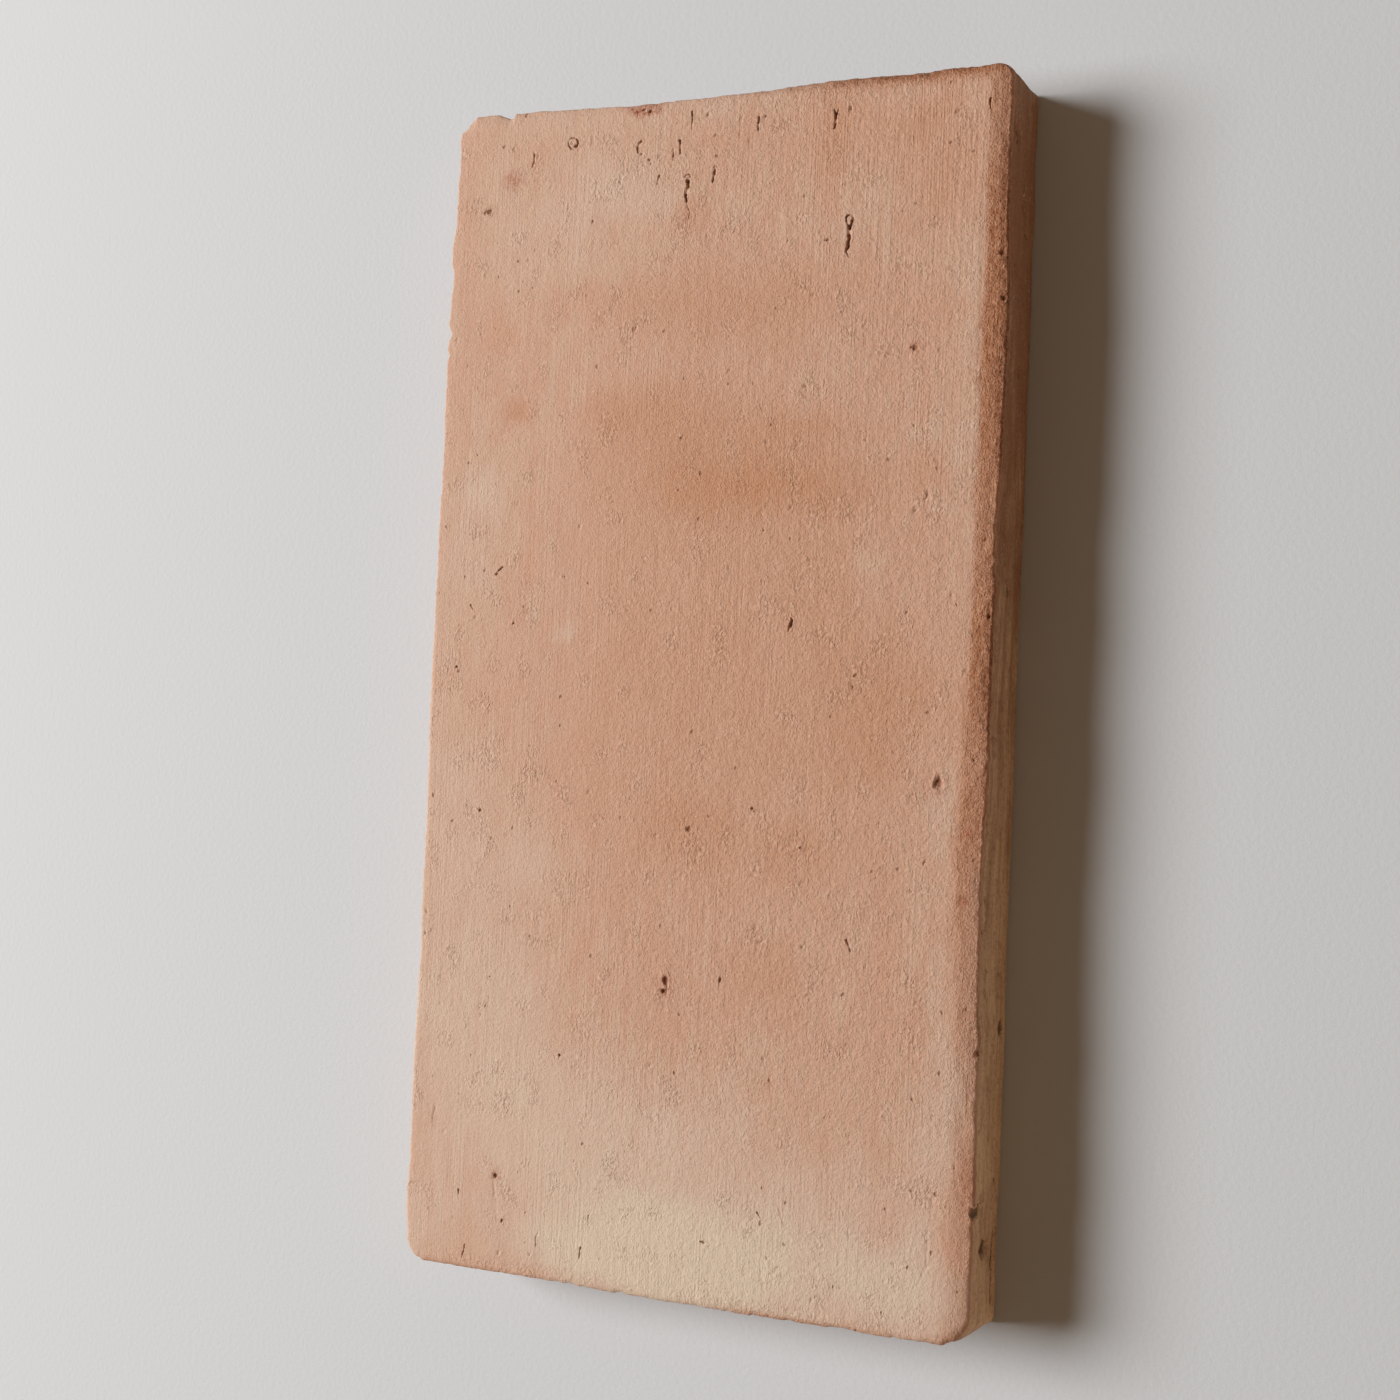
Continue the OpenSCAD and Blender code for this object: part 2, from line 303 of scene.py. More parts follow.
# Round grooves that something small pressed into the wet clay.
Ring = namedtuple("Ring", "x y radius width depth start sweep")
RINGS = [Ring(*row) for row in [
    (-40.3, 139.6, 1.3, 0.6, 0.5, 0, 360), (35.5, 114.2, 0.95, 0.45, 0.6, -50, 280),
    (-7.6, 128.1, 0.6, 0.4, 0.4, -20, 220), (-0.1, 129.8, 0.45, 0.35, 0.35, -60, 300),
    (54, 139.6, 3.0, 0.5, 0.12, 180, 200), (-62.6, 91.6, 2.0, 0.5, 0.15, 180, 120),
    (-36.5, 60.2, 0.8, 0.4, 0.2, 0, 360), (54.6, 43, 1.1, 0.5, 0.2, 200, 260),
]]
RING_STEPS = 12

# Lumps that stand a little proud of the face, with their heights.
LUMPS = [Oval(*row) for row in [
    (73.4, 22.4, 2.0, 1.7, 0.35), (56.4, 47, 1.8, 2.4, 0.2), (56, -10.5, 3.5, 5.5, 0.13),
    (72.4, 12.6, 1.5, 1.5, 0.2), (35.5, 86, 5.0, 4.0, 0.08), (26, -39.5, 5.0, 3.5, 0.08),
    (44.5, 9, 3.0, 2.5, 0.1), (5.5, 9, 3.5, 3.0, 0.08), (13, -87, 1.5, 4.0, 0.15),
    (-33, -55.5, 2.5, 3.0, 0.08), (73.5, -16.6, 1.6, 1.4, 0.3), (71.5, 4, 2.0, 2.0, 0.15),
]]
LUMP_OUTLINE = Layer(0.2, 1.1, 85)
LUMP_TOP = Layer(0.5, 0.8, 86)
LUMP_FADE = (1.2, 0.2)

# Small pits are scattered over the rest: this many over the face, this many over each long side,
# and half as many over each short one.
SCATTER_SEED = 11
FACE_SCATTER = 120
SIDE_SCATTER = 26

# ---- the marks on the sides

# The unevenness of the sides. The smaller waves calm down over this distance below the face.
SIDE_WAVES = Layer(0.28, (45, 45, 30), 41)
LOW_WAVES = Layer(0.24, (12, 12, 7), 42)
CALM_HEIGHT = 6
SIDE_DRAGS = Layer(0.09, (30, 30, 1.4), 43)
SIDE_GRIT = Layer(0.08, 2.2, 44)
GRIT_PLACES = Places(14, 45, -0.2, 0.5)

# Pits in the right side: place along it, height, length, size up the side, and depth.
SidePit = namedtuple("SidePit", "y z along tall depth")
RIGHT_SIDE_PITS = [SidePit(*row) for row in [
    (-129.5, 14, 5.5, 9.5, 2.0), (-119, 23, 3.6, 6, 1.4), (-79, 5, 3.6, 4.5, 1.4),
    (-92.5, 16, 3.5, 2.2, 0.9), (-54.5, 23, 2.4, 2.6, 0.8), (-48, 22, 3.0, 2.4, 0.8),
    (-10, 21, 2.0, 3.0, 0.8), (25, 14, 3.0, 3.5, 0.9), (9, 23, 3.5, 2.6, 0.9), (54, 22.5, 4.0, 3.0, 0.7),
    (-2, 13, 2.5, 3.0, 0.9), (-92.5, 7, 2.4, 2.4, 0.8), (112, 9, 2.0, 3.0, 0.8), (78, 12, 3.0, 3.4, 0.8),
    (-66, 7, 2.4, 3.0, 0.8), (-115, 6.5, 2.2, 2.8, 0.9), (132, 20, 6.5, 2.0, 0.8), (119, 12, 7.5, 2.0, 0.8),
    (101, 19, 3.0, 2.0, 0.8),
]]
SIDE_PIT_WOBBLE = [Layer(0.4, 2.2, 91), Layer(0.3, 1.0, 92)]
SIDE_PIT_SLOPE = (1.15, 0.4)
# The same for the pits in the sides, where the dirt colour is made darker as painted shade.
SIDE_DIRT_AND_SHADE_DEPTHS = (0.2, 1.2)

# The wear of the underside, which fades out towards its edges over this distance.
UNDERSIDE_WEAR = [Layer(0.2, 9, 95), Layer(0.08, 2.6, 96)]
UNDERSIDE_RIM = 6

# ---- noise and curves

NOISE_TABLE = 4096
NOISE_PRIMES = np.array([73856093, 19349663, 83492791])
# Lengths that count as nothing: below what is divided by, and for points on a side of the box.
TINY = 1e-6
TOUCHING = 1e-3


def smooth(low, high, value):
    """A smooth step from 0 at low to 1 at high. It falls if low is above high."""
    part = np.clip((value - low) / (high - low), 0, 1)
    return part * part * (3 - 2 * part)


def noise(points, size, seed):
    """Smooth noise from -1 to 1 at the points, with bumps about size across."""
    table = np.random.default_rng(seed).uniform(-1, 1, NOISE_TABLE)
    place = points / np.array(size)
    cell = np.floor(place).astype(np.int64)
    part = smooth(0, 1, place - cell)
    primes = NOISE_PRIMES[: points.shape[1]]
    total = np.zeros(len(points))
    for step in itertools.product((0, 1), repeat=points.shape[1]):
        key = np.bitwise_xor.reduce((cell + step) * primes, axis=1) % NOISE_TABLE
        total += table[key] * np.where(step, part, 1 - part).prod(axis=1)
    return total


def layered(points, *layers):
    """The sum of layers of noise at the points."""
    return sum(layer.strength * noise(points, layer.size, layer.seed) for layer in layers)


def in_places(points, places):
    """A share from 0 to 1 that is high in some places only."""
    return smooth(places.low, places.high, noise(points, places.size, places.seed))


def bent(plan, *bends):
    """The points, moved about by the bends."""
    moved = plan.copy()
    for bend in bends:
        for axis, amount in enumerate(bend.amounts):
            moved[:, axis] += amount * noise(plan, bend.size, bend.seed + axis)
    return moved


def ridge_height(value, ridge):
    """The height of a ridge, which fades to 0 on both sides of its middle."""
    return ridge.height * np.exp(-(((value - ridge.middle) / ridge.width) ** 2))


def profile(table, place):
    """The value at those places, from a table of (place, value)."""
    places, values = zip(*table)
    return np.interp(place, places, values)


def line_distance(points, line):
    """How far the points are from a line of straight stretches, and the share along it."""
    line = np.array(line, float)
    nearest = np.full(len(points), np.inf)
    share = np.zeros(len(points))
    stretches = len(line) - 1
    for number, (start, end) in enumerate(zip(line[:-1], line[1:])):
        along = end - start
        part = np.clip((points - start) @ along / (along @ along), 0, 1)
        distance = np.linalg.norm(points - start - part[:, None] * along, axis=1)
        closer = distance < nearest
        nearest[closer] = distance[closer]
        share[closer] = (number + part[closer]) / stretches
    return nearest, share


def oval_radius(points, oval):
    """Distance from an oval's middle, as a share of its own radius that way."""
    turn = math.radians(oval.turn)
    x, y = (points - (oval.x, oval.y)).T
    across = (x * math.cos(turn) + y * math.sin(turn)) / (oval.across / 2)
    along = (y * math.cos(turn) - x * math.sin(turn)) / (oval.along / 2)
    return np.hypot(across, along)


def near(plan, x, y, reach):
    """Which points are within that reach of a place, as indices."""
    return np.flatnonzero((np.abs(plan[:, 0] - x) < reach) & (np.abs(plan[:, 1] - y) < reach))


def near_slit(plan, slit, margin):
    """Which points are within that margin of a slit's extent, as indices."""
    line = np.array(slit.line)
    middle = (line.max(axis=0) + line.min(axis=0)) / 2
    return near(plan, *middle, np.ptp(line, axis=0).max() / 2 + margin)


# ---- the tile's outline


def corner_limit(corner, angle, height):
    """The share of a corner's arc that is left, where a flake has broken off it."""
    if corner.side != CHIPPED_CORNER:
        return np.ones(len(angle))
    rough = layered(np.stack([angle * corner.radius, height], 1), CHIP_ROUGHNESS)
    reach = CHIP_REACH + CHIP_LEAN * (THICKNESS - height) + rough
    return np.minimum(1, reach / np.cos(angle - CHIP_TURN) / corner.radius)


def round_corners(box):
    """The box's points, seen from above, with its square corners made round."""
    plan = box[:, :2].copy()
    share = box[:, 2:] / THICKNESS
    for corner in CORNERS:
        side = np.array(corner.side)
        middle = (HALF - corner.foot - (corner.radius - corner.foot) * share) * side
        out = (plan - middle) * side
        inside = (out > TINY).all(axis=1)
        across, along = out[inside].T
        reach = np.maximum(across, along)
        angle = np.where(across >= along, along / across, 2 - across / along) * math.pi / 4
        reach = reach * corner_limit(corner, angle, box[inside, 2])
        turned = np.stack([np.cos(angle), np.sin(angle)], 1) * reach[:, None]
        plan[inside] = middle[inside] + turned * side
    return plan


def inward(plan):
    """The direction in from the nearest edge, fading out further in, and its X share."""
    over = np.clip(np.abs(plan) - (HALF - EDGE_REACH), 0, None)
    length = np.linalg.norm(over, axis=1)
    direction = -np.sign(plan) * over / np.maximum(length, TINY)[:, None]
    fade = np.clip(length / EDGE_REACH, 0, 1) ** 2
    return direction * fade[:, None], direction[:, 0] ** 2


def edge_wear(plan, x_share):
    """How far the edge nearest to each point stands inside the box."""
    x, y = plan.T
    beside = np.where(x < 0, profile(LEFT_EDGE, y), profile(RIGHT_EDGE, y))
    ahead = np.where(y < 0, profile(NEAR_EDGE, x), profile(FAR_EDGE, x))
    flakes = in_places(plan, NEAR_FLAKES) * smooth(*NEAR_FLAKE_REACH, HALF[1] + y)
    ragged = layered(plan, *EDGE_RAGGEDNESS) + NEAR_FLAKE_DEPTH * flakes
    return x_share * beside + (1 - x_share) * ahead + ragged


def foot_inset(height):
    """How far the arris round the underside stands in at that height."""
    below = np.clip(FOOT_RADIUS - height, 0, FOOT_RADIUS)
    return FOOT_RADIUS - np.sqrt(FOOT_RADIUS**2 - below**2)


def flash(plan, height):
    """The depth of a groove along the foot of the right side, and the height of the line under it."""
    x, y = plan.T
    there = smooth(60, 70, x) * smooth(-118, -132, y) * smooth(-148, -143, y)
    return there * ridge_height(height, FLASH_GROOVE), there * ridge_height(height, FLASH)


def side_relief(solid):
    """The waves, drag lines and grit of the sides, as a depth below their surface."""
    calm = smooth(THICKNESS, THICKNESS - CALM_HEIGHT, solid[:, 2])
    waves = layered(solid, SIDE_WAVES, SIDE_DRAGS) + calm * layered(solid, LOW_WAVES)
    return waves + layered(solid, SIDE_GRIT) * in_places(solid, GRIT_PLACES)


def rows(height):
    """The heights of the rows of a side, crowded towards its top and bottom."""
    return height - ROW_CROWDING * np.sin(2 * math.pi * height / THICKNESS)


# ---- the face


def arris_width(plan):
    """Over what distance the face's arris is worn round."""
    x, y = plan.T
    left = smooth(*ARRIS_BLEND, HALF[0] + x) * (LEFT_ARRIS_WIDTH - ARRIS_WIDTH)
    right = smooth(*ARRIS_BLEND, HALF[0] - x) * (profile(RIGHT_ARRIS, y) - ARRIS_WIDTH)
    return ARRIS_WIDTH + left + right


def arris_loss(plan, distance):
    """What the worn arris has lost at that distance from it, on either side of it."""
    width = arris_width(plan)
    return ARRIS_LOSS * width * np.clip(1 - distance / width, 0, 1) ** 2


def roll_drop(plan, gap):
    """How far the face has rolled down at the gap in from its edge."""
    x, y = plan.T
    total = np.zeros(len(plan))
    weights = np.zeros(len(plan))
    widening = 1 + layered(plan, ROLL_WIDTH_CHANGE)
    distances = [
        (LEFT_ROLL, HALF[0] + x),
        (RIGHT_ROLL, HALF[0] - x),
        (NEAR_ROLL, HALF[1] + y),
        (FAR_ROLL, HALF[1] - y),
    ]
    for roll, distance in distances:
        weight = np.exp(-np.clip(distance, 0, ROLL_LIMIT) / ROLL_BLEND)
        slope = np.clip(1 - gap / (roll.width * widening), 0, 1) ** roll.power
        total += weight * roll.drop * slope
        weights += weight
    uneven = 1 + layered(plan, *ROLL_DROP_CHANGE)
    return total / weights * uneven + arris_loss(plan, gap)


def burr(plan, gap):
    """Height of the ragged lip along the right arris, of the groove beside it and of the crumbs."""
    there = smooth(CRUMB_REACH + 1, CRUMB_REACH - 1, HALF[0] - plan[:, 0])
    there = there * profile(BURR_SHARE, plan[:, 1])
    lip = in_places(plan, BURR_PLACES) * (RAGGED_SHARE + layered(plan, BURR_CHANGE))
    groove = in_places(plan, GROOVE_PLACES) * (RAGGED_SHARE + layered(plan, GROOVE_CHANGE))
    wander = layered(plan, GROOVE_WANDER)
    crumbs = in_places(plan, CRUMB_PLACES) * smooth(0, 1, gap)
    lip = lip * ridge_height(gap, BURR)
    groove = groove * ridge_height(gap - wander, GROOVE)
    return there * (lip - groove + CRUMB_HEIGHT * crumbs)


def hollow(points, radius, size):
    """The depth of an uneven pit without and with its rim, as a share of the pit's own depth."""
    wobble = PIT_WOBBLE._replace(size=PIT_WOBBLE.size * size)
    radius = radius * (1 + layered(points, wobble, PIT_FINE_WOBBLE))
    bowl = smooth(*PIT_SLOPE, radius) * (1 + layered(points, PIT_FLOOR))
    return bowl, bowl - ridge_height(radius, RIM)


def ring_line(ring):
    """The points of a round groove, as a line of short stretches."""
    angles = np.radians(ring.start + ring.sweep * np.arange(RING_STEPS + 1) / RING_STEPS)
    return np.stack([ring.x + ring.radius * np.cos(angles), ring.y + ring.radius * np.sin(angles)], 1)


def scattered_pits():
    """Small pits at random places on the face, longer along it near its ends."""
    rng = np.random.default_rng(SCATTER_SEED)
    pits = []
    for _ in range(FACE_SCATTER):
        x = rng.uniform(-0.95, 0.95) * HALF[0]
        y = np.sign(rng.uniform(-1, 1)) * rng.uniform(0, 1) ** 0.7 * 0.97 * HALF[1]
        across = rng.uniform(0.45, 0.8)
        stretch = 1 + rng.uniform(0, 1.6) * (abs(y) / HALF[1]) ** 2
        depth = rng.uniform(0.15, 0.4)
        pits.append(Oval(x, y, across, across * stretch, depth, rng.uniform(-20, 20)))
    return pits


FACE_PITS = PITS + scattered_pits()
FACE_SLITS = SLITS + [Slit(ring_line(ring), ring.width, ring.depth, 0.0) for ring in RINGS]


def carve_face(plan):
    """Depth of the pits and slits of the face, and how much dirt and painted shade darken each point."""
    depth = np.zeros(len(plan))
    dark = np.zeros(len(plan))
    for pit in FACE_PITS:
        place = near(plan, pit.x, pit.y, max(pit.across, pit.along))
        points = plan[place]
        bowl, carved = hollow(points, oval_radius(points, pit), min(pit.across, pit.along))
        depth[place] = np.maximum(depth[place], 0) + pit.amount * carved
        dark[place] = np.maximum(dark[place], bowl * smooth(*DIRT_AND_SHADE_DEPTHS, pit.amount))
    for slit in FACE_SLITS:
        place = near_slit(plan, slit, 2 * slit.width)
        points = plan[place]
        distance, share = line_distance(bent(points, SLIT_BEND), slit.line)
        wobble = 1 + layered(points, SLIT_WOBBLE)
        half = slit.width / 2 * (SLIT_START - slit.taper * share) * wobble
        bowl, carved = hollow(points, distance / half, slit.width)
        left = BROKEN_SHARE + (1 - BROKEN_SHARE) * in_places(points, DEEP_PLACES)
        depth[place] = np.maximum(depth[place], 0) + slit.depth * left * carved
        dark[place] = np.maximum(dark[place], left * bowl * smooth(*DIRT_AND_SHADE_DEPTHS, slit.depth))
    return depth, dark


def torn(plan):
    """How torn the clay of the face is, from 0 to 1: round its pits and in clumps."""
    total = np.zeros(len(plan))
    for pit in FACE_PITS:
        reach = pit.amount * TORN_REACH
        place = near(plan, pit.x, pit.y, pit.along + 2 * reach)
        points = plan[place]
        radius = oval_radius(points, pit) * pit.along / 2 + layered(points, TORN_OUTLINE)
        amount = TORN_SHARE * smooth(*TORN_DEPTHS, pit.amount)
        total[place] = np.maximum(total[place], amount * smooth(pit.along / 2 + reach, 0, radius))
    for clump in CLUMPS:
        place = near(plan, clump.x, clump.y, max(clump.across, clump.along))
        points = plan[place]
        radius = oval_radius(points, clump) + layered(points, CLUMP_OUTLINE)
        total[place] = np.maximum(total[place], clump.amount * smooth(*CLUMP_FADE, radius))
    return np.clip(total, 0, 1)


def wrinkles(plan):
    """Small ridges of torn clay."""
    ridge = 1 - np.abs(layered(bent(plan, RIDGE_BEND), RIDGES))
    return TORN_HEIGHT * ridge * torn(plan)


def raise_face(plan):
    """Height of the lumps on the face."""
    height = np.zeros(len(plan))
    for lump in LUMPS:
        place = near(plan, lump.x, lump.y, max(lump.across, lump.along))
        points = plan[place]
        radius = oval_radius(points, lump) * (1 + layered(points, LUMP_OUTLINE))
        height[place] += lump.amount * smooth(*LUMP_FADE, radius) * (1 + layered(points, LUMP_TOP))
    return height


# ---- the sides


def scattered_side_pits():
    """Random pits in the sides, as (X or Y, side, pit)."""
    rng = np.random.default_rng(SCATTER_SEED + 1)
    found = []
    for axis, end in ((0, -1), (1, -1), (1, 1), (0, 1)):
        for _ in range(SIDE_SCATTER if axis == 0 else SIDE_SCATTER // 2):
            long = rng.uniform(1.2, 3.2)
            place = rng.uniform(-0.9, 0.9) * HALF[1 - axis]
            height = rng.uniform(3, THICKNESS - 3)
            tall = rng.uniform(0.8, 1.6)
            found.append((axis, end, SidePit(place, height, long, tall, rng.uniform(0.3, 0.8))))
    return found


SIDE_PITS = [(0, 1, pit) for pit in RIGHT_SIDE_PITS] + scattered_side_pits()


def carve_sides(plan, height):
    """Depth of the pits in the sides, and how much dirt and painted shade darken each point."""
    depth = np.zeros(len(plan))
    dark = np.zeros(len(plan))
    solid = np.column_stack([plan, height])
    for axis, end, pit in SIDE_PITS:
        along = plan[:, 1 - axis] - pit.y
        up = height - pit.z
        beside = plan[:, axis] * end > HALF[axis] - EDGE_REACH
        place = np.flatnonzero(beside & (np.abs(along) < pit.along) & (np.abs(up) < pit.tall))
        radius = np.hypot(along[place] / pit.along, up[place] / pit.tall) * 2
        radius = radius * (1 + layered(solid[place], *SIDE_PIT_WOBBLE))
        inside = smooth(*SIDE_PIT_SLOPE, radius)
        depth[place] = np.maximum(depth[place], pit.depth * inside)
        dark[place] = np.maximum(dark[place], inside * smooth(*SIDE_DIRT_AND_SHADE_DEPTHS, pit.depth))
    return depth, dark


# ---- the whole shape


def face_plan(box):
    """Where the box's points lie, seen from above, before the sides get their relief."""
    plan = round_corners(box)
    direction, x_share = inward(plan)
    return plan + direction * (edge_wear(plan, x_share) + SIDE_ALLOWANCE)[:, None]


def box_gap(box):
    """Distance in from the nearest edge of the square-cornered box, seen from above."""
    return (HALF - np.abs(box[:, :2])).min(axis=1)


def on_top(box):
    """Which of the box's points are on its top."""
    return box[:, 2] > THICKNESS - TOUCHING


def side_inset(rounded, height, x_share, dug):
    """How far the sides stand inside the box, with what is dug out of them."""
    wear = edge_wear(rounded, x_share) * (FOOT_WEAR + (1 - FOOT_WEAR) * height / THICKNESS)
    inset = wear + SIDE_ALLOWANCE + foot_inset(height) + dug
    inset += arris_loss(rounded, THICKNESS - height)
    return np.maximum(inset + side_relief(np.column_stack([rounded, height])), 0)


def shape_points(box):
    """The tile's points for the box's, and how much dirt and painted shade darken each, from 0 to 1."""
    rounded = round_corners(box)
    direction, x_share = inward(rounded)
    height = rows(box[:, 2])
    side_depth, side_dark = carve_sides(rounded, height)
    groove, line = flash(rounded, height)
    inset = side_inset(rounded, height, x_share, side_depth + groove - line)
    plan = rounded + direction * inset[:, None]
    gap = box_gap(box)
    top = THICKNESS - FACE_ALLOWANCE - roll_drop(plan, gap) + layered(plan, *FACE_WAVES) + burr(plan, gap)
    face_depth, face_dark = carve_face(plan)
    carved = top - face_depth + raise_face(plan) + wrinkles(plan)
    z = np.where(on_top(box), carved, height / THICKNESS * top)
    worn = np.maximum(UNDERSIDE_ALLOWANCE + layered(plan, *UNDERSIDE_WEAR), 0)
    z = np.where(box[:, 2] < TOUCHING, worn * smooth(0, UNDERSIDE_RIM, gap), z)
    # The groove above the flash line is darkened like a pit: painted shade in it.
    side_dark = np.where(gap < TOUCHING, np.maximum(side_dark, groove), 0)
    dark = np.where(on_top(box), face_dark, side_dark)
    return np.column_stack([plan, np.clip(z, 0, THICKNESS)]), dark


# ---- the mesh

# Coarse cells will do this far in from the face's edges, and those this near an edge are small.
PLAIN_GAP = 8
EDGE_GAP = 4
# Cells get smaller where the clay is torn, and smaller still where it is very torn.
TORN_LIMITS = (0.05, 0.4)
# Pits and slits deeper than this get the finest cells.
DEEP_PIT = 0.4
DEEP_SLIT = 0.3
# Cells are cut this far out from the middle of a mark, as a share of its size, and this far
# past that, as a share of a cell.
MARK_SHARE = 0.6
CELL_SHARE = 0.7


def box_lattice():
    """Points and four-sided faces of the tile's box, in cells of the coarse size."""
    size = np.array([2 * HALF[0], 2 * HALF[1], THICKNESS])
    counts = np.round(size / COARSE_CELL).astype(int)
    quads = []
    for axis, end in itertools.product(range(3), (0, 1)):
        across, along = (axis + 1) % 3, (axis + 2) % 3
        first, second = np.meshgrid(np.arange(counts[across]), np.arange(counts[along]))
        steps = [(0, 0), (1, 0), (1, 1), (0, 1)]
        if not end:
            steps.reverse()
        quad = np.zeros((first.size, 4, 3), int)
        quad[..., axis] = end * counts[axis]
        for number, (step_across, step_along) in enumerate(steps):
            quad[:, number, across] = first.ravel() + step_across
            quad[:, number, along] = second.ravel() + step_along
        quads.append(quad)
    corners = np.concatenate(quads).reshape(-1, 3)
    points, faces = np.unique(corners, axis=0, return_inverse=True)
    points = points * size / counts - (HALF[0], HALF[1], 0)
    return points, faces.reshape(-1, 4)


def plain_cells(box, plan):
    """The size of cell that each place needs without its pits and slits."""
    gap = box_gap(box)
    face = on_top(box)
    inside = np.where(face, gap > PLAIN_GAP, (box[:, 2] < TOUCHING) & (gap > FOOT_RADIUS))
    size = np.where(inside, COARSE_CELL, FACE_CELL)
    ragged = torn(plan)
    size[face & (ragged > TORN_LIMITS[0])] = FACE_CELL
    size[face & (ragged > TORN_LIMITS[1])] = EDGE_CELL
    size[face & (gap < EDGE_GAP)] = EDGE_CELL
    size[(gap < TOUCHING) & (rows(box[:, 2]) > THICKNESS - 3)] = EDGE_CELL
    size[face & (gap < 0.8) & (plan.sum(axis=1) > -60)] = ARRIS_CELL
    size[face & (gap < 1.8) & (plan[:, 0] > HALF[0] - 3) & (plan[:, 1] > -60)] = ARRIS_CELL
    return size


def cell_wanted(box, cell):
    """The size of cell that the shape needs in cells of that size round the box's points."""
    plan = face_plan(box)
    height = rows(box[:, 2])
    face = on_top(box)
    reach = CELL_SHARE * cell
    size = plain_cells(box, plan)
    for pit in FACE_PITS:
        place = near(plan, pit.x, pit.y, max(pit.across, pit.along) * MARK_SHARE + reach)
        place = place[face[place]]
        size[place] = np.minimum(size[place], FINEST_CELL if pit.amount > DEEP_PIT else ARRIS_CELL)
    for slit in FACE_SLITS:
        place = near_slit(plan, slit, 2 + reach)
        place = place[face[place]]
        distance, _ = line_distance(plan[place], slit.line)
        place = place[distance < MARK_SHARE * slit.width + 0.1 + reach]
        size[place] = np.minimum(size[place], FINEST_CELL if slit.depth > DEEP_SLIT else ARRIS_CELL)
    for axis, end, pit in SIDE_PITS:
        beside = (plan[:, axis] * end > HALF[axis] - EDGE_GAP) & (box_gap(box) < TOUCHING)
        along = np.abs(plan[:, 1 - axis] - pit.y) < pit.along * MARK_SHARE + reach
        place = beside & along & (np.abs(height - pit.z) < pit.tall * MARK_SHARE + reach)
        size[place] = np.minimum(size[place], EDGE_CELL)
    return size


def halve_cells(mesh, cell):
    """Cuts the faces that are larger than the shape needs there into four."""
    middles = np.array([face.calc_center_median() for face in mesh.faces])
    wanted = cell_wanted(middles, cell) < cell * 0.99
    edges = {edge for face, pick in zip(mesh.faces, wanted) if pick for edge in face.edges}
    bmesh.ops.subdivide_edges(mesh, edges=list(edges), cuts=1, use_grid_fill=True)


def add_attribute(data, name, values):
    """Gives each point of the mesh a number that the material reads."""
    attribute = data.attributes.new(name, "FLOAT", "POINT")
    attribute.data.foreach_set("value", values.astype(np.float32))


def tile_mesh():
    """The tile's mesh, in metres, with the numbers that its material reads as attributes."""
    points, faces = box_lattice()
    data = bpy.data.meshes.new("terracotta_tile")
    data.from_pydata(points.tolist(), [], faces.tolist())
    mesh = bmesh.new()
    mesh.from_mesh(data)
    for cell in (COARSE_CELL, FACE_CELL, EDGE_CELL, ARRIS_CELL):
        halve_cells(mesh, cell)
    bmesh.ops.triangulate(mesh, faces=[face for face in mesh.faces if len(face.verts) > 4])
    mesh.to_mesh(data)
    mesh.free()
    box = np.zeros(len(data.vertices) * 3)
    data.vertices.foreach_get("co", box)
    box = box.reshape(-1, 3)
    shaped, dark = shape_points(box)
    data.vertices.foreach_set("co", (shaped * MM).ravel())
    # The hollow attribute says how much dirt and painted shade darken each point.
    add_attribute(data, "hollow", dark)
    add_attribute(data, "torn", torn(shaped[:, :2]))
    for name, values in stains(shaped, box).items():
        add_attribute(data, name, values)
    data.polygons.foreach_set("use_smooth", np.ones(len(data.polygons), bool))
    data.update()
    return data


# ---- stains from the fire, and darker edges

# Soft patches of the face that fired warmer (above 0) or paler (below 0) than the rest.
PATCHES = [Oval(*row) for row in [
    (0, 10, 80, 110, 0.25), (-10, 62, 34, 24, 0.4), (20, 49, 46, 13, 0.6), (26, 62, 24, 9, 0.35),
    (-24, 68, 18, 10, 0.25), (50, 0, 28, 20, 0.4), (46, -15, 18, 14, 0.3), (0, -35, 22, 16, 0.3),
    (27, -41, 15, 12, 0.3), (21, -67, 16, 10, 0.25), (52, -50, 10, 22, 0.15), (40, 136, 44, 18, 0.2),
    (-32, 97, 26, 10, 0.15), (8, 96, 54, 18, 0.25), (60, 121, 16, 18, 0.4), (54, 137, 12, 8, 0.3),
    (31, 135, 7, 28, 0.25), (-8, 119, 8, 8, 0.3), (-53, 70, 8, 6, 0.6), (-60, 92, 8, 12, 0.2),
    (34, 22, 18, 30, 0.2), (58, 53, 10, 10, 0.3), (10, -141, 60, 24, -1.0), (-20, -122, 80, 40, -0.6),
    (-30, -143, 30, 12, -0.4), (-54, -92, 36, 44, -0.3), (-50, -60, 30, 70, -0.2), (-66, 34, 24, 40, -0.1),
    (-62, 50, 12, 8, -0.2), (-22, 128, 26, 16, -0.2), (66, 66, 8, 76, -0.1), (65, -26, 8, 16, -0.2),
    (65, -84, 9, 30, -0.1), (56, -138, 24, 20, -0.55), (43, 30, 10, 10, -0.25), (-37.5, 13.7, 5, 3.5, -0.4),
    (-44.3, 18.7, 2.5, 2, -0.5), (-40, 118, 40, 26, -0.15), (38, -124, 34, 24, -0.3),
    (10, -98, 90, 26, -0.1), (-70, -138, 16, 24, -0.2), (-50, 60, 70, 200, -0.12),
    (-70, -60, 22, 120, -0.2), (-15, 148, 110, 14, -0.2), (-74.5, 0, 3, 320, -0.1),
    (62, -125, 10, 50, -0.3), (66.3, -84, 4.5, 56, -0.18), (68.6, -38, 4.5, 52, 0.35),
]]
PATCH_BENDS = [Bend((2.0, 3.0), 9, 111), Bend((0.7, 0.9), 2.5, 113)]
PATCH_SOFTNESS = 0.85
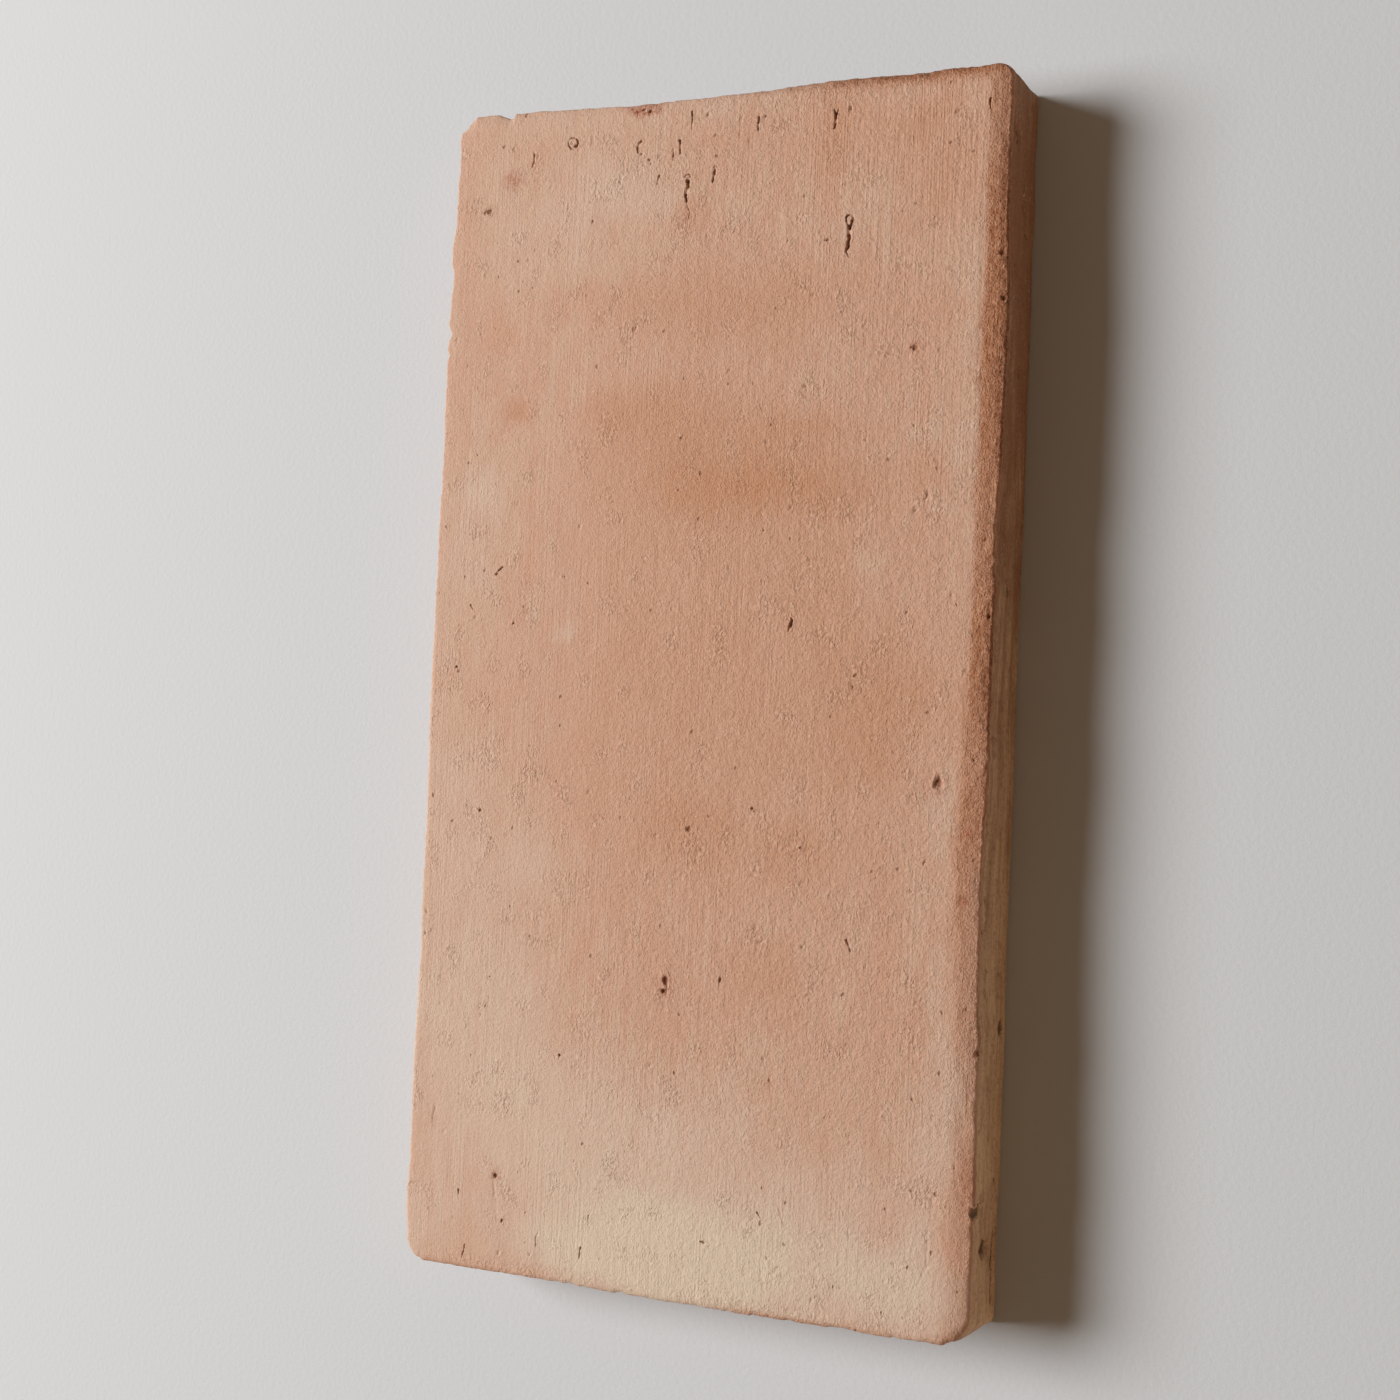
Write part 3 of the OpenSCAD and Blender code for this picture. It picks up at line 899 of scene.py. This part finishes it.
# Small red and brown spots: iron in the clay.
IRON_SPOTS = [Oval(*row) for row in [
    (-57, 131.5, 5.5, 5.5, 0.6), (-20.2, 147.6, 9, 5, 2.6), (62.7, -21.5, 4.5, 5.5, 0.5),
    (69.7, -32, 2.4, 2.4, 0.8), (69.2, -48, 2.4, 2.2, 0.8), (-61.5, 75.2, 3.5, 3, 0.3),
    (18.8, -58, 2.5, 3, 0.35), (-64, 123.8, 3.4, 3, 0.5), (-4.2, -73.5, 4, 5, 0.4), (53, 82, 3, 3.5, 0.4),
    (-67.6, -112, 2, 7, 0.3), (-48.9, -125, 3.4, 3.4, 0.35), (73, -112, 5, 12, 0.4),
    (-39, -23.7, 2.2, 2.2, 0.3), (-8, 117.5, 3, 5, 0.3),
]]
SPOT_BEND = Bend((0.5, 0.5), 1.5, 115)
SPOT_SOFTNESS = 0.5
# Where the rust-coloured band along the right edge starts, seen from above:
# (place along the edge, X where it starts, how strong it is).
RUST_BAND = [
    (-150, 68, 0.1), (-138, 70, 0.15), (-122, 71, 0.3), (-112, 71, 0.4), (-98, 71.5, 0.2),
    (-84, 69.5, 0.25), (-72, 69, 0.3), (-56, 68.5, 0.45), (-40, 67, 0.5), (-26, 67.5, 0.8),
    (-14, 68.5, 0.6), (0, 68, 0.9), (14, 69, 1.0), (30, 69.3, 0.8), (42, 68.6, 0.75), (60, 68.6, 0.95),
    (80, 69, 1.0), (112, 69, 1.0), (124, 68.5, 0.8), (134, 69, 0.6), (150, 68, 0.6),
]
RUST_RAGGEDNESS = [Layer(0.5, 5, 101), Layer(0.3, 1.6, 102)]
RUST_FADE = (-0.4, 0.9)
# A thin rusty line runs along the near edge: (place along the edge, strength).
NEAR_RUST = [
    (-75, 0.4), (-50, 0.2), (-40, -0.1), (-25, -0.05), (10, 0.05), (24, 0.7), (40, 0.6), (55, 0.2),
    (66, 0.1), (75, 0),
]
NEAR_RUST_CHANGE = Layer(0.15, 9, 103)

# How much darker the last bit of the face is along the right edge: (place, share).
RIGHT_EDGE_DARKENING = [
    (-150, 0.3), (-144, 0.1), (-138, 0), (-88, 0), (-80, 0.5), (-70, 0), (-40, 0), (-24, 0.2), (-10, 0.6),
    (10, 1.0), (22, 1.0), (34, 0.1), (46, 0.1), (58, 0.9), (75, 1.0), (122, 1.0), (134, 0.3), (150, 0.1),
]
# The same along the far and near edges.
FAR_EDGE_DARKENING = [(-75, 0), (-5, 0), (12, 0.3), (30, 0.6), (40, 0.8), (50, 1.0), (60, 0.7), (75, 0.3)]
NEAR_EDGE_DARKENING = [(-75, 0), (64, 0), (72, 0.25), (75, 0.3)]
# How far in from an edge it is darker, from nothing to all, and how that wanders.
DARKENING_REACH = (3.2, 0.3)
DARKENING_WANDER = Layer(0.5, 3, 104)
FAR_DARKENING_CHANGE = Layer(0.5, 1.1, 105)

# How far below the arris the side's own colour sets in.
SIDE_START = 1.5


def soft_patches(plan, patches, softness):
    """The sum of the patches at each point. Softness is the share of one that fades."""
    total = np.zeros(len(plan))
    for patch in patches:
        total += patch.amount * smooth(1 + softness, 1 - softness, oval_radius(plan, patch))
    return total


def rust(plan, box):
    """How rust-coloured each point of the face is, from 0 to 1."""
    x, y = plan.T
    places, starts, strengths = zip(*RUST_BAND)
    start = np.interp(y, places, starts) + layered(plan, *RUST_RAGGEDNESS)
    band = smooth(*RUST_FADE, x - start) * np.interp(y, places, strengths)
    far = smooth(6.1, 2.1, HALF[1] - y) * smooth(10, 55, x)
    close = profile(NEAR_RUST, x) + layered(plan, NEAR_RUST_CHANGE)
    close = close * smooth(2.2, 0.4, HALF[1] + y) * smooth(6, 0, box_gap(box))
    return np.clip(np.maximum.reduce([band, far, close]), 0, 1)


def darkened_edge(plan, box):
    """How much darker each point of the face is along its edges, from 0 to 1."""
    x, y = plan.T
    right = smooth(60, 68, x) * profile(RIGHT_EDGE_DARKENING, y)
    far = smooth(140, 145, y) * profile(FAR_EDGE_DARKENING, x) * (1 + layered(plan, FAR_DARKENING_CHANGE))
    close = smooth(140, 145, -y) * profile(NEAR_EDGE_DARKENING, x)
    rim = smooth(*DARKENING_REACH, box_gap(box) + layered(plan, DARKENING_WANDER))
    return np.clip(np.maximum.reduce([right, far, close]) * rim, 0, 1)


def stains(solid, box):
    """The numbers that colour the tile, at each point."""
    plan = solid[:, :2]
    warmth = soft_patches(bent(plan, *PATCH_BENDS), PATCHES, PATCH_SOFTNESS)
    iron = soft_patches(bent(plan, SPOT_BEND), IRON_SPOTS, SPOT_SOFTNESS)
    on_face = smooth(THICKNESS - SIDE_START, THICKNESS, rows(box[:, 2]))
    return {
        "warmth": warmth * on_face,
        "iron": np.clip(iron, 0, 1) * on_face,
        "rust": rust(plan, box) * on_face,
        "darkened_edge": darkened_edge(plan, box) * on_face,
        "side": 1 - on_face,
    }


# ---- materials


def paint(red, green, blue):
    """A colour given as on a screen, from 0 to 255, as the shader wants it."""
    shares = (value / 255 for value in (red, green, blue))
    linear = (share / 12.92 if share <= 0.04045 else ((share + 0.055) / 1.055) ** 2.4 for share in shares)
    return (*linear, 1.0)


# The shader's noise: the size of its bumps in X, Y and Z, where in the noise it lies, how many
# octaves it has, how rough these are, its strength, and the fade that it goes through, if any.
# A fade is low and high, and what it gives there, if that isn't 0 and 1.
Bumps = namedtuple("Bumps", "size offset detail roughness amount fade", defaults=(1, 0.5, 1, None))

# What the clay's fine marks are made of.
LINES = Bumps((0.52, 44, 0.52), 7, fade=(-0.35, 0.35))
LINED = Bumps((12, 36, 12), 11, fade=(-0.4, 0.5, 0.15, 1))
KNOTS = Bumps((6, 8, 6), 13, fade=(0.1, 0.7, 0.08, 0.8))
TEARS = Bumps((0.7, 1, 0.7), 17, 2, 0.55)
GRIT = Bumps((0.42, 0.6, 0.42), 19, 2, 0.6, fade=(-0.1, 0.5))
CRUMBS = Bumps((1, 1.1, 1.1), 79, 2, 0.6, fade=(-0.15, 0.45))
HOLLOW_EDGE = Bumps((0.45, 0.6, 0.45), 53, 1, 0.6, 0.22)
# The lines are clearest in the far right part of the face. The face is coarser on the right.
COMBED_ACROSS = (5, 40)
COMBED_ALONG = (20, 70, 0, 0.6)
COARSER_ACROSS = (-40, 0, 1, 1.6)
COARSER_ALONG = (-90, -120, 1, 0.75)
# Added to that for the middling bumps, which change more across the face.
COARSER_START = -0.8
# Pinholes: the cells that they lie in, the share of these that has one, their radius in cells,
# and how deep they are.
PINHOLES = [((2.6, 3.4, 2.6), 0.03, 0.12, 0.5), ((6, 8, 6), 0.1, 0.075, 1)]

# Heights in millimetres.
WAVES = Bumps((6, 8, 6), 5, amount=0.06)
GRAIN = Bumps((1.3, 1.45, 1.3), 3, 3, 0.68, 0.072)
UNEVEN = Bumps((2.8, 3.2, 2.8), 89, amount=0.08)
STREAKS = Bumps((16, 16, 2), 73, 2, 0.55, 0.2)
MARK_HEIGHTS = {"lines": 0.032, "ridges": 0.1, "creases": -0.1, "pinholes": -0.16, "dirt_and_shade": -0.08}
GRIT_HEIGHT = 0.04
ROUGH_GRIT_HEIGHT = 0.06
ROUGH_CRUMBS_HEIGHT = 0.11

# The face's colours from pale to warm, at these shares of the way.
FACE_TONES = [
    (0, paint(205, 186, 164)),
    (0.3, paint(199, 169, 149)),
    (0.5, paint(194, 153, 129)),
    (0.72, paint(189, 143, 115)),
    (1, paint(183, 130, 97)),
]
# What makes the face warmer or paler beside its patches.
WARMTH = [
    Bumps((26, 34, 26), 23, 2, 0.55, 0.14),
    Bumps((4.5, 10, 4.5), 29, 2, 0.6, 0.13),
    Bumps((0.9, 34, 0.9), 31, amount=0.08),
    Bumps((0.6, 0.8, 0.6), 37, amount=0.1),
]
UNEVEN_WARMTH = Bumps((2.4, 3.2, 2.4), 97, 2, amount=0.11)
# Raised drag lines are painted paler and the grooves between them warmer and darker: painted light and
# shade.
LINES_SHADE_WARMTH = -0.1
# Of a pair of tones, the second is the paler one.
# The right side's tones hold its own colour with the painted yellow of warm light thrown back onto it in
# shade.
RIGHT_SIDE_TONES_WITH_BOUNCE = (paint(150, 106, 75), paint(224, 190, 152))
OTHER_SIDE_TONES = (paint(162, 117, 93), paint(192, 151, 126))
RUST_TONES = (paint(162, 102, 68), paint(190, 138, 106))
DARKENED_EDGE_TONES = (paint(118, 70, 42), paint(150, 98, 66))
# The sides are paler towards the near end: painted light bounced onto the near end of the shaded right
# side, which the other sides share. They are streaked too.
SIDE_ALONG = (110, -110, -0.5, 0.6)
SIDE_STREAKS = Bumps((20, 20, 3.2), 71, 2, 0.6, 0.6)
SIDE_FADE = (-0.6, 1.2)
MOTTLE = Bumps((1.1, 2.2, 1.1), 41, 2, 0.6)
MOTTLE_FADE = (-0.8, 0.8)
# Coats of colour, each with how much of it there is at most.
SIDE_CRUMBS = (0.22, paint(122, 82, 56))
BLOTCHES = Bumps((3, 3, 4.5), 83, 2, 0.6, fade=(0.25, 0.7))
SIDE_BLOTCHES = (0.35, paint(98, 64, 42))
IRON_TONE = paint(158, 90, 62)
# The pale coat on the ridges of torn clay is painted highlight, and the dark coat in its creases is painted
# shade.
RIDGES_HIGHLIGHT_COAT = (0.4, paint(224, 194, 170))
CREASES_SHADE_COAT = (0.3, paint(140, 90, 58))
SPECKS = [
    (Bumps((0.35, 0.45, 0.35), 61, fade=(0.45, 0.8)), (0.4, paint(140, 92, 62))),
    (Bumps((0.4, 0.5, 0.4), 67, fade=(0.45, 0.8)), (0.4, paint(226, 200, 178))),
]
# The colour of the dirt and painted shade in pits, slits, pinholes and grooves, on the face and on the
# sides.
DIRT_AND_SHADE_TONES = (paint(122, 72, 40), paint(72, 44, 30))


class Graph:
    """The nodes of one material or of the world."""

    def __init__(self, owner):
        owner.use_nodes = True
        self.owner = owner
        self.nodes = owner.node_tree.nodes
        self.links = owner.node_tree.links
        self.nodes.clear()

    def set(self, socket, value):
        """Sets a socket to a value, or links another node's output to it."""
        if isinstance(value, bpy.types.NodeSocket):
            self.links.new(value, socket)
        else:
            socket.default_value = value

    def add(self, kind, inputs=(), output=0, **settings):
        """Adds a node and returns one of its outputs."""
        made = self.nodes.new("ShaderNode" + kind)
        for name, value in settings.items():
            setattr(made, name, value)
        for name, value in dict(inputs).items():
            self.set(made.inputs[name], value)
        return made.outputs[output]

    def finish(self, shader, output="OutputMaterial"):
        """Makes the shader the owner's surface."""
        self.links.new(shader, self.nodes.new("ShaderNode" + output).inputs["Surface"])
        return self.owner

    def math(self, operation, first, second=0.0):
        return self.add("Math", {0: first, 1: second}, operation=operation)

    def times(self, first, second):
        return self.math("MULTIPLY", first, second)

    def plus(self, first, second):
        return self.math("ADD", first, second)

    def sum(self, *terms):
        total = terms[0]
        for term in terms[1:]:
            total = self.plus(total, term)
        return total

    def fade(self, value, low, high, out_low=0.0, out_high=1.0):
        """A smooth step in value from low to high."""
        inputs = {"Value": value, "From Min": low, "From Max": high, "To Min": out_low, "To Max": out_high}
        return self.add("MapRange", inputs, interpolation_type="SMOOTHSTEP")

    def mix(self, share, first, second):
        """The colour between two colours."""
        mixed = self.nodes.new("ShaderNodeMix")
        mixed.data_type = "RGBA"
        for number, value in ((0, share), (6, first), (7, second)):
            self.set(mixed.inputs[number], value)
        return mixed.outputs[2]

    def coat(self, colour, mark, share, tone):
        """The colour with a coat of the tone where the mark is."""
        return self.mix(self.times(mark, share), colour, tone)

    def ramp(self, share, stops):
        """The colour at that share of the way through the stops."""
        ramp = self.nodes.new("ShaderNodeValToRGB")
        while len(ramp.color_ramp.elements) < len(stops):
            ramp.color_ramp.elements.new(0.5)
        for element, (position, colour) in zip(ramp.color_ramp.elements, stops):
            element.position = position
            element.color = colour
        self.set(ramp.inputs[0], share)
        return ramp.outputs[0]

    def attribute(self, name):
        return self.add("Attribute", output="Fac", attribute_name=name)

    def axis(self, place, name):
        """X, Y or Z of the place."""
        return self.add("SeparateXYZ", {0: place}, output=name)

    def scaled(self, place, size, offset=0.0):
        """The place, counted in steps of that size."""
        inputs = {"Vector": place, "Scale": [1 / axis for axis in size], "Location": (offset,) * 3}
        return self.add("Mapping", inputs)

    def noise(self, place, bumps):
        """Noise from about -amount to amount, or what its fade makes of it."""
        moved = self.scaled(place, bumps.size, bumps.offset)
        inputs = {"Vector": moved, "Scale": 1, "Detail": bumps.detail, "Roughness": bumps.roughness}
        spread = {0: self.add("TexNoise", inputs), 1: 3 * bumps.amount, 2: -1.5 * bumps.amount}
        value = self.add("Math", spread, operation="MULTIPLY_ADD")
        return self.fade(value, *bumps.fade) if bumps.fade else value

    def bend(self, place, size, amount):
        """The place, moved about by up to that amount, so that shapes made from it bend."""
        wave = self.scaled(place, (size,) * 3)
        moves = self.add("TexNoise", {"Vector": wave, "Scale": 1.0, "Detail": 1.0}, output="Color")
        inputs = {0: moves, 1: (amount,) * 3, 2: place}
        return self.add("VectorMath", inputs, operation="MULTIPLY_ADD")

    def dimples(self, place, cell, share, radius):
        """Small round craters in some cells of a flat grid, from 0 on the face to 1 inside."""
        inputs = {"Vector": self.scaled(place, cell), "Scale": 1.0}
        distance = self.add("TexVoronoi", inputs, output="Distance", voronoi_dimensions="2D")
        picked = self.add("SeparateColor", {"Color": distance.node.outputs["Color"]})
        chosen = self.math("LESS_THAN", picked, share)
        return self.times(self.fade(distance, radius, radius * 0.3), chosen)


def tile_coordinates(graph):
    """The place on the tile in millimetres."""
    place = graph.add("TexCoord", output="Object")
    return graph.scaled(place, (MM,) * 3)


def clay_marks(graph, place):
    """The clay's fine marks: its drag lines, tears, grit, pinholes, the dirt and painted shade in its
    hollows, and how coarse it is.
    """
    across = graph.axis(place, "X")
    along = graph.axis(place, "Y")
    side = graph.attribute("side")
    moved = graph.bend(place, 1.6, 1.2)
    combed = graph.times(graph.fade(across, *COMBED_ACROSS), graph.fade(along, *COMBED_ALONG))
    lined = graph.plus(graph.noise(place, LINED), combed)
    ragged = graph.math("MAXIMUM", graph.noise(place, KNOTS), graph.attribute("torn"))
    tears = graph.noise(moved, TEARS)
    edge = graph.plus(graph.attribute("hollow"), graph.noise(place, HOLLOW_EDGE))
    holes = [graph.times(graph.dimples(moved, *cells), depth) for *cells, depth in PINHOLES]
    return {
        "coarser": graph.times(graph.fade(across, *COARSER_ACROSS), graph.fade(along, *COARSER_ALONG)),
        "lines": graph.times(graph.noise(place, LINES), lined),
        "ridges": graph.times(graph.fade(tears, 0.05, 0.4), ragged),
        "creases": graph.times(graph.fade(tears, -0.1, -0.4), ragged),
        "grit": graph.noise(place, GRIT),
        "pinholes": graph.times(graph.sum(*holes), graph.fade(side, 0.5, 0)),
        "dirt_and_shade": graph.fade(edge, 0.3, 0.62),
        "rough": graph.plus(graph.attribute("rust"), graph.times(side, 0.65)),
        "crumbs": graph.noise(place, CRUMBS),
        "streaks": graph.times(graph.noise(place, STREAKS), side),
    }


def clay_relief(graph, place, marks):
    """Fine relief of the clay, as a height in millimetres."""
    coarser = marks["coarser"]
    grit = graph.plus(graph.times(marks["rough"], ROUGH_GRIT_HEIGHT), GRIT_HEIGHT)
    return graph.sum(
        graph.noise(place, WAVES),
        graph.times(graph.noise(place, GRAIN), coarser),
        graph.times(graph.noise(place, UNEVEN), graph.plus(coarser, COARSER_START)),
        graph.times(graph.times(marks["grit"], coarser), grit),
        graph.times(graph.times(marks["crumbs"], marks["rough"]), ROUGH_CRUMBS_HEIGHT),
        marks["streaks"],
        *(graph.times(marks[name], height) for name, height in MARK_HEIGHTS.items()),
    )


def face_colour(graph, place, marks):
    """The colour of the clean face, warmer and paler in places."""
    warmth = graph.sum(
        *(graph.noise(place, bumps) for bumps in WARMTH),
        graph.times(graph.noise(place, UNEVEN_WARMTH), graph.plus(marks["coarser"], COARSER_START)),
        # Painted light and shade along the drag lines.
        graph.times(marks["lines"], LINES_SHADE_WARMTH),
        graph.attribute("warmth"),
    )
    return graph.ramp(graph.plus(graph.times(warmth, 0.5), 0.5), FACE_TONES)


def side_colour(graph, place, marks, mottle):
    """The colour of the sides. The right one's tones carry painted warm bounce light, and all are paler
    towards the near end as painted light bounced onto the shaded right side.
    """
    # Paler towards the near end: painted bounce light.
    paler = graph.fade(graph.axis(place, "Y"), *SIDE_ALONG)
    paler = graph.sum(paler, graph.noise(place, SIDE_STREAKS), graph.times(mottle, 0.25))
    paler = graph.fade(paler, *SIDE_FADE)
    tones = [graph.mix(paler, *pair) for pair in (OTHER_SIDE_TONES, RIGHT_SIDE_TONES_WITH_BOUNCE)]
    # The right side takes the tones with painted bounce light.
    colour = graph.mix(graph.fade(graph.axis(place, "X"), 70, 74.5), *tones)
    colour = graph.coat(colour, marks["crumbs"], *SIDE_CRUMBS)
    return graph.coat(colour, graph.noise(place, BLOTCHES), *SIDE_BLOTCHES)


def clay_colour(graph, place, marks):
    """The colour of the fired clay, with its stains and marks, and painted light and shade that follow its
    relief.
    """
    mottle = graph.noise(place, MOTTLE)
    mottled = graph.fade(mottle, *MOTTLE_FADE)
    side = graph.attribute("side")
    edge_darkness = graph.times(graph.attribute("darkened_edge"), graph.fade(marks["crumbs"], 0, 1, 0.65, 1.4))
    iron = graph.times(graph.attribute("iron"), graph.fade(marks["crumbs"], 0, 1, 0.4, 1))
    colour = face_colour(graph, place, marks)
    colour = graph.mix(side, colour, side_colour(graph, place, marks, mottle))
    colour = graph.mix(graph.attribute("rust"), colour, graph.mix(mottled, *RUST_TONES))
    colour = graph.mix(graph.math("MINIMUM", edge_darkness, 1), colour, graph.mix(mottled, *DARKENED_EDGE_TONES))
    colour = graph.mix(iron, colour, IRON_TONE)
    # Painted highlight on the ridges and painted shade in the creases.
    colour = graph.coat(colour, marks["ridges"], *RIDGES_HIGHLIGHT_COAT)
    colour = graph.coat(colour, marks["creases"], *CREASES_SHADE_COAT)
    for bumps, coat in SPECKS:
        colour = graph.coat(colour, graph.noise(place, bumps), *coat)
    # Pits, slits, grooves and pinholes are darkened: dirt with painted shade.
    dirt_and_shade = graph.plus(graph.times(marks["dirt_and_shade"], 0.7), graph.times(marks["pinholes"], 0.65))
    return graph.mix(graph.math("MINIMUM", dirt_and_shade, 0.8), colour, graph.mix(side, *DIRT_AND_SHADE_TONES))


def bump(graph, height):
    """The surface's direction for a relief given in millimetres."""
    return graph.add("Bump", {"Strength": 1.0, "Distance": MM, "Height": height})


def terracotta():
    """Unglazed fired clay."""
    graph = Graph(bpy.data.materials.new("terracotta"))
    place = tile_coordinates(graph)
    marks = clay_marks(graph, place)
    shader = graph.add(
        "BsdfPrincipled",
        {
            "Base Color": clay_colour(graph, place, marks),
            "Roughness": graph.fade(marks["grit"], 0, 1, 0.84, 0.94),
            "Specular IOR Level": 0.35,
            "Normal": bump(graph, clay_relief(graph, place, marks)),
        },
    )
    return graph.finish(shader)


# ---- floor, light and camera

FLOOR_SIZE = 6.0
FLOOR_COLOUR = paint(199, 202, 205)
FLOOR_GRAIN = Bumps((1.4, 1.4, 1.4), 0, 3, 0.6, 0.03)

LAMP_DIRECTION = Vector((-0.755, 0.09, 0.65))
LAMP_DISTANCE = 2.6
LAMP_SIZE = 1.4
LAMP_POWER = 94.0
FILL_STRENGTH = 0.17
FILL_COLOUR = paint(244, 206, 168)
# Light thrown back by what stands near on the right glows low down in this direction.
GLOW_DIRECTION = Vector((0.7, -0.5, -0.65)).normalized()
GLOW_EDGES = (0.4, 0.85)
GLOW_STRENGTH = 2.4
WALL_COLOUR = paint(226, 225, 223)

CAMERA_PLACE = Vector((174.7, -20.1, 441.0)) * MM
CAMERA_TARGET = Vector((1.9, -3.0, THICKNESS)) * MM
# The tile's length leans this little in the picture.
CAMERA_UP = Vector((-0.047, 1.0, 0.0))
CAMERA_LENS = 47.06
CAMERA_SENSOR = 36.0


def aimed(place, target, up):
    """The turn and place of a camera or lamp that looks at the target."""
    back = (place - target).normalized()
    right = up.cross(back).normalized()
    turn = Matrix((right, back.cross(right), back)).transposed()
    return Matrix.Translation(place) @ turn.to_4x4()


def add_object(name, data, matrix=None):
    made = bpy.data.objects.new(name, data)
    bpy.context.scene.collection.objects.link(made)
    if matrix is not None:
        made.matrix_world = matrix
    return made


def plaster():
    """The plain pale floor's finish."""
    graph = Graph(bpy.data.materials.new("plaster"))
    normal = bump(graph, graph.noise(tile_coordinates(graph), FLOOR_GRAIN))
    inputs = {"Base Color": FLOOR_COLOUR, "Roughness": 0.95, "Normal": normal}
    return graph.finish(graph.add("BsdfPrincipled", inputs))


def make_floor():
    half = FLOOR_SIZE / 2
    data = bpy.data.meshes.new("floor")
    corners = [(-half, -half, 0), (half, -half, 0), (half, half, 0), (-half, half, 0)]
    data.from_pydata(corners, [], [(0, 1, 2, 3)])
    data.materials.append(plaster())
    add_object("floor", data)


def make_lamp():
    data = bpy.data.lights.new("window", "AREA")
    data.shape = "DISK"
    data.size = LAMP_SIZE
    data.energy = LAMP_POWER
    place = LAMP_DIRECTION.normalized() * LAMP_DISTANCE
    add_object("window", data, aimed(place, Vector((0, 0, 0)), Vector((0, 0, 1))))


def make_world():
    """A weak warm fill from all round, stronger low down on one side, and a plain pale wall."""
    graph = Graph(bpy.data.worlds.new("room"))
    towards = graph.add("TexCoord", output="Generated")
    inputs = {0: towards, 1: GLOW_DIRECTION}
    facing = graph.add("VectorMath", inputs, output="Value", operation="DOT_PRODUCT")
    fill = graph.fade(facing, *GLOW_EDGES, FILL_STRENGTH, GLOW_STRENGTH)
    seen = graph.add("LightPath", output="Is Camera Ray")
    strength = graph.add("MapRange", {"Value": seen, "To Min": fill, "To Max": 1.0})
    colour = graph.mix(seen, FILL_COLOUR, WALL_COLOUR)
    shader = graph.add("Background", {"Color": colour, "Strength": strength})
    bpy.context.scene.world = graph.finish(shader, "OutputWorld")


def make_camera():
    data = bpy.data.cameras.new("camera")
    data.lens = CAMERA_LENS
    data.sensor_width = CAMERA_SENSOR
    camera = add_object("camera", data, aimed(CAMERA_PLACE, CAMERA_TARGET, CAMERA_UP))
    bpy.context.scene.camera = camera


def make_tile():
    data = tile_mesh()
    data.materials.append(terracotta())
    tile = add_object("terracotta_tile", data)
    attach(tile, "root")
    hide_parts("tile")


# ---- the scene

make_camera()
make_world()
make_lamp()
make_floor()
make_tile()
bpy.context.scene.view_settings.view_transform = "Standard"
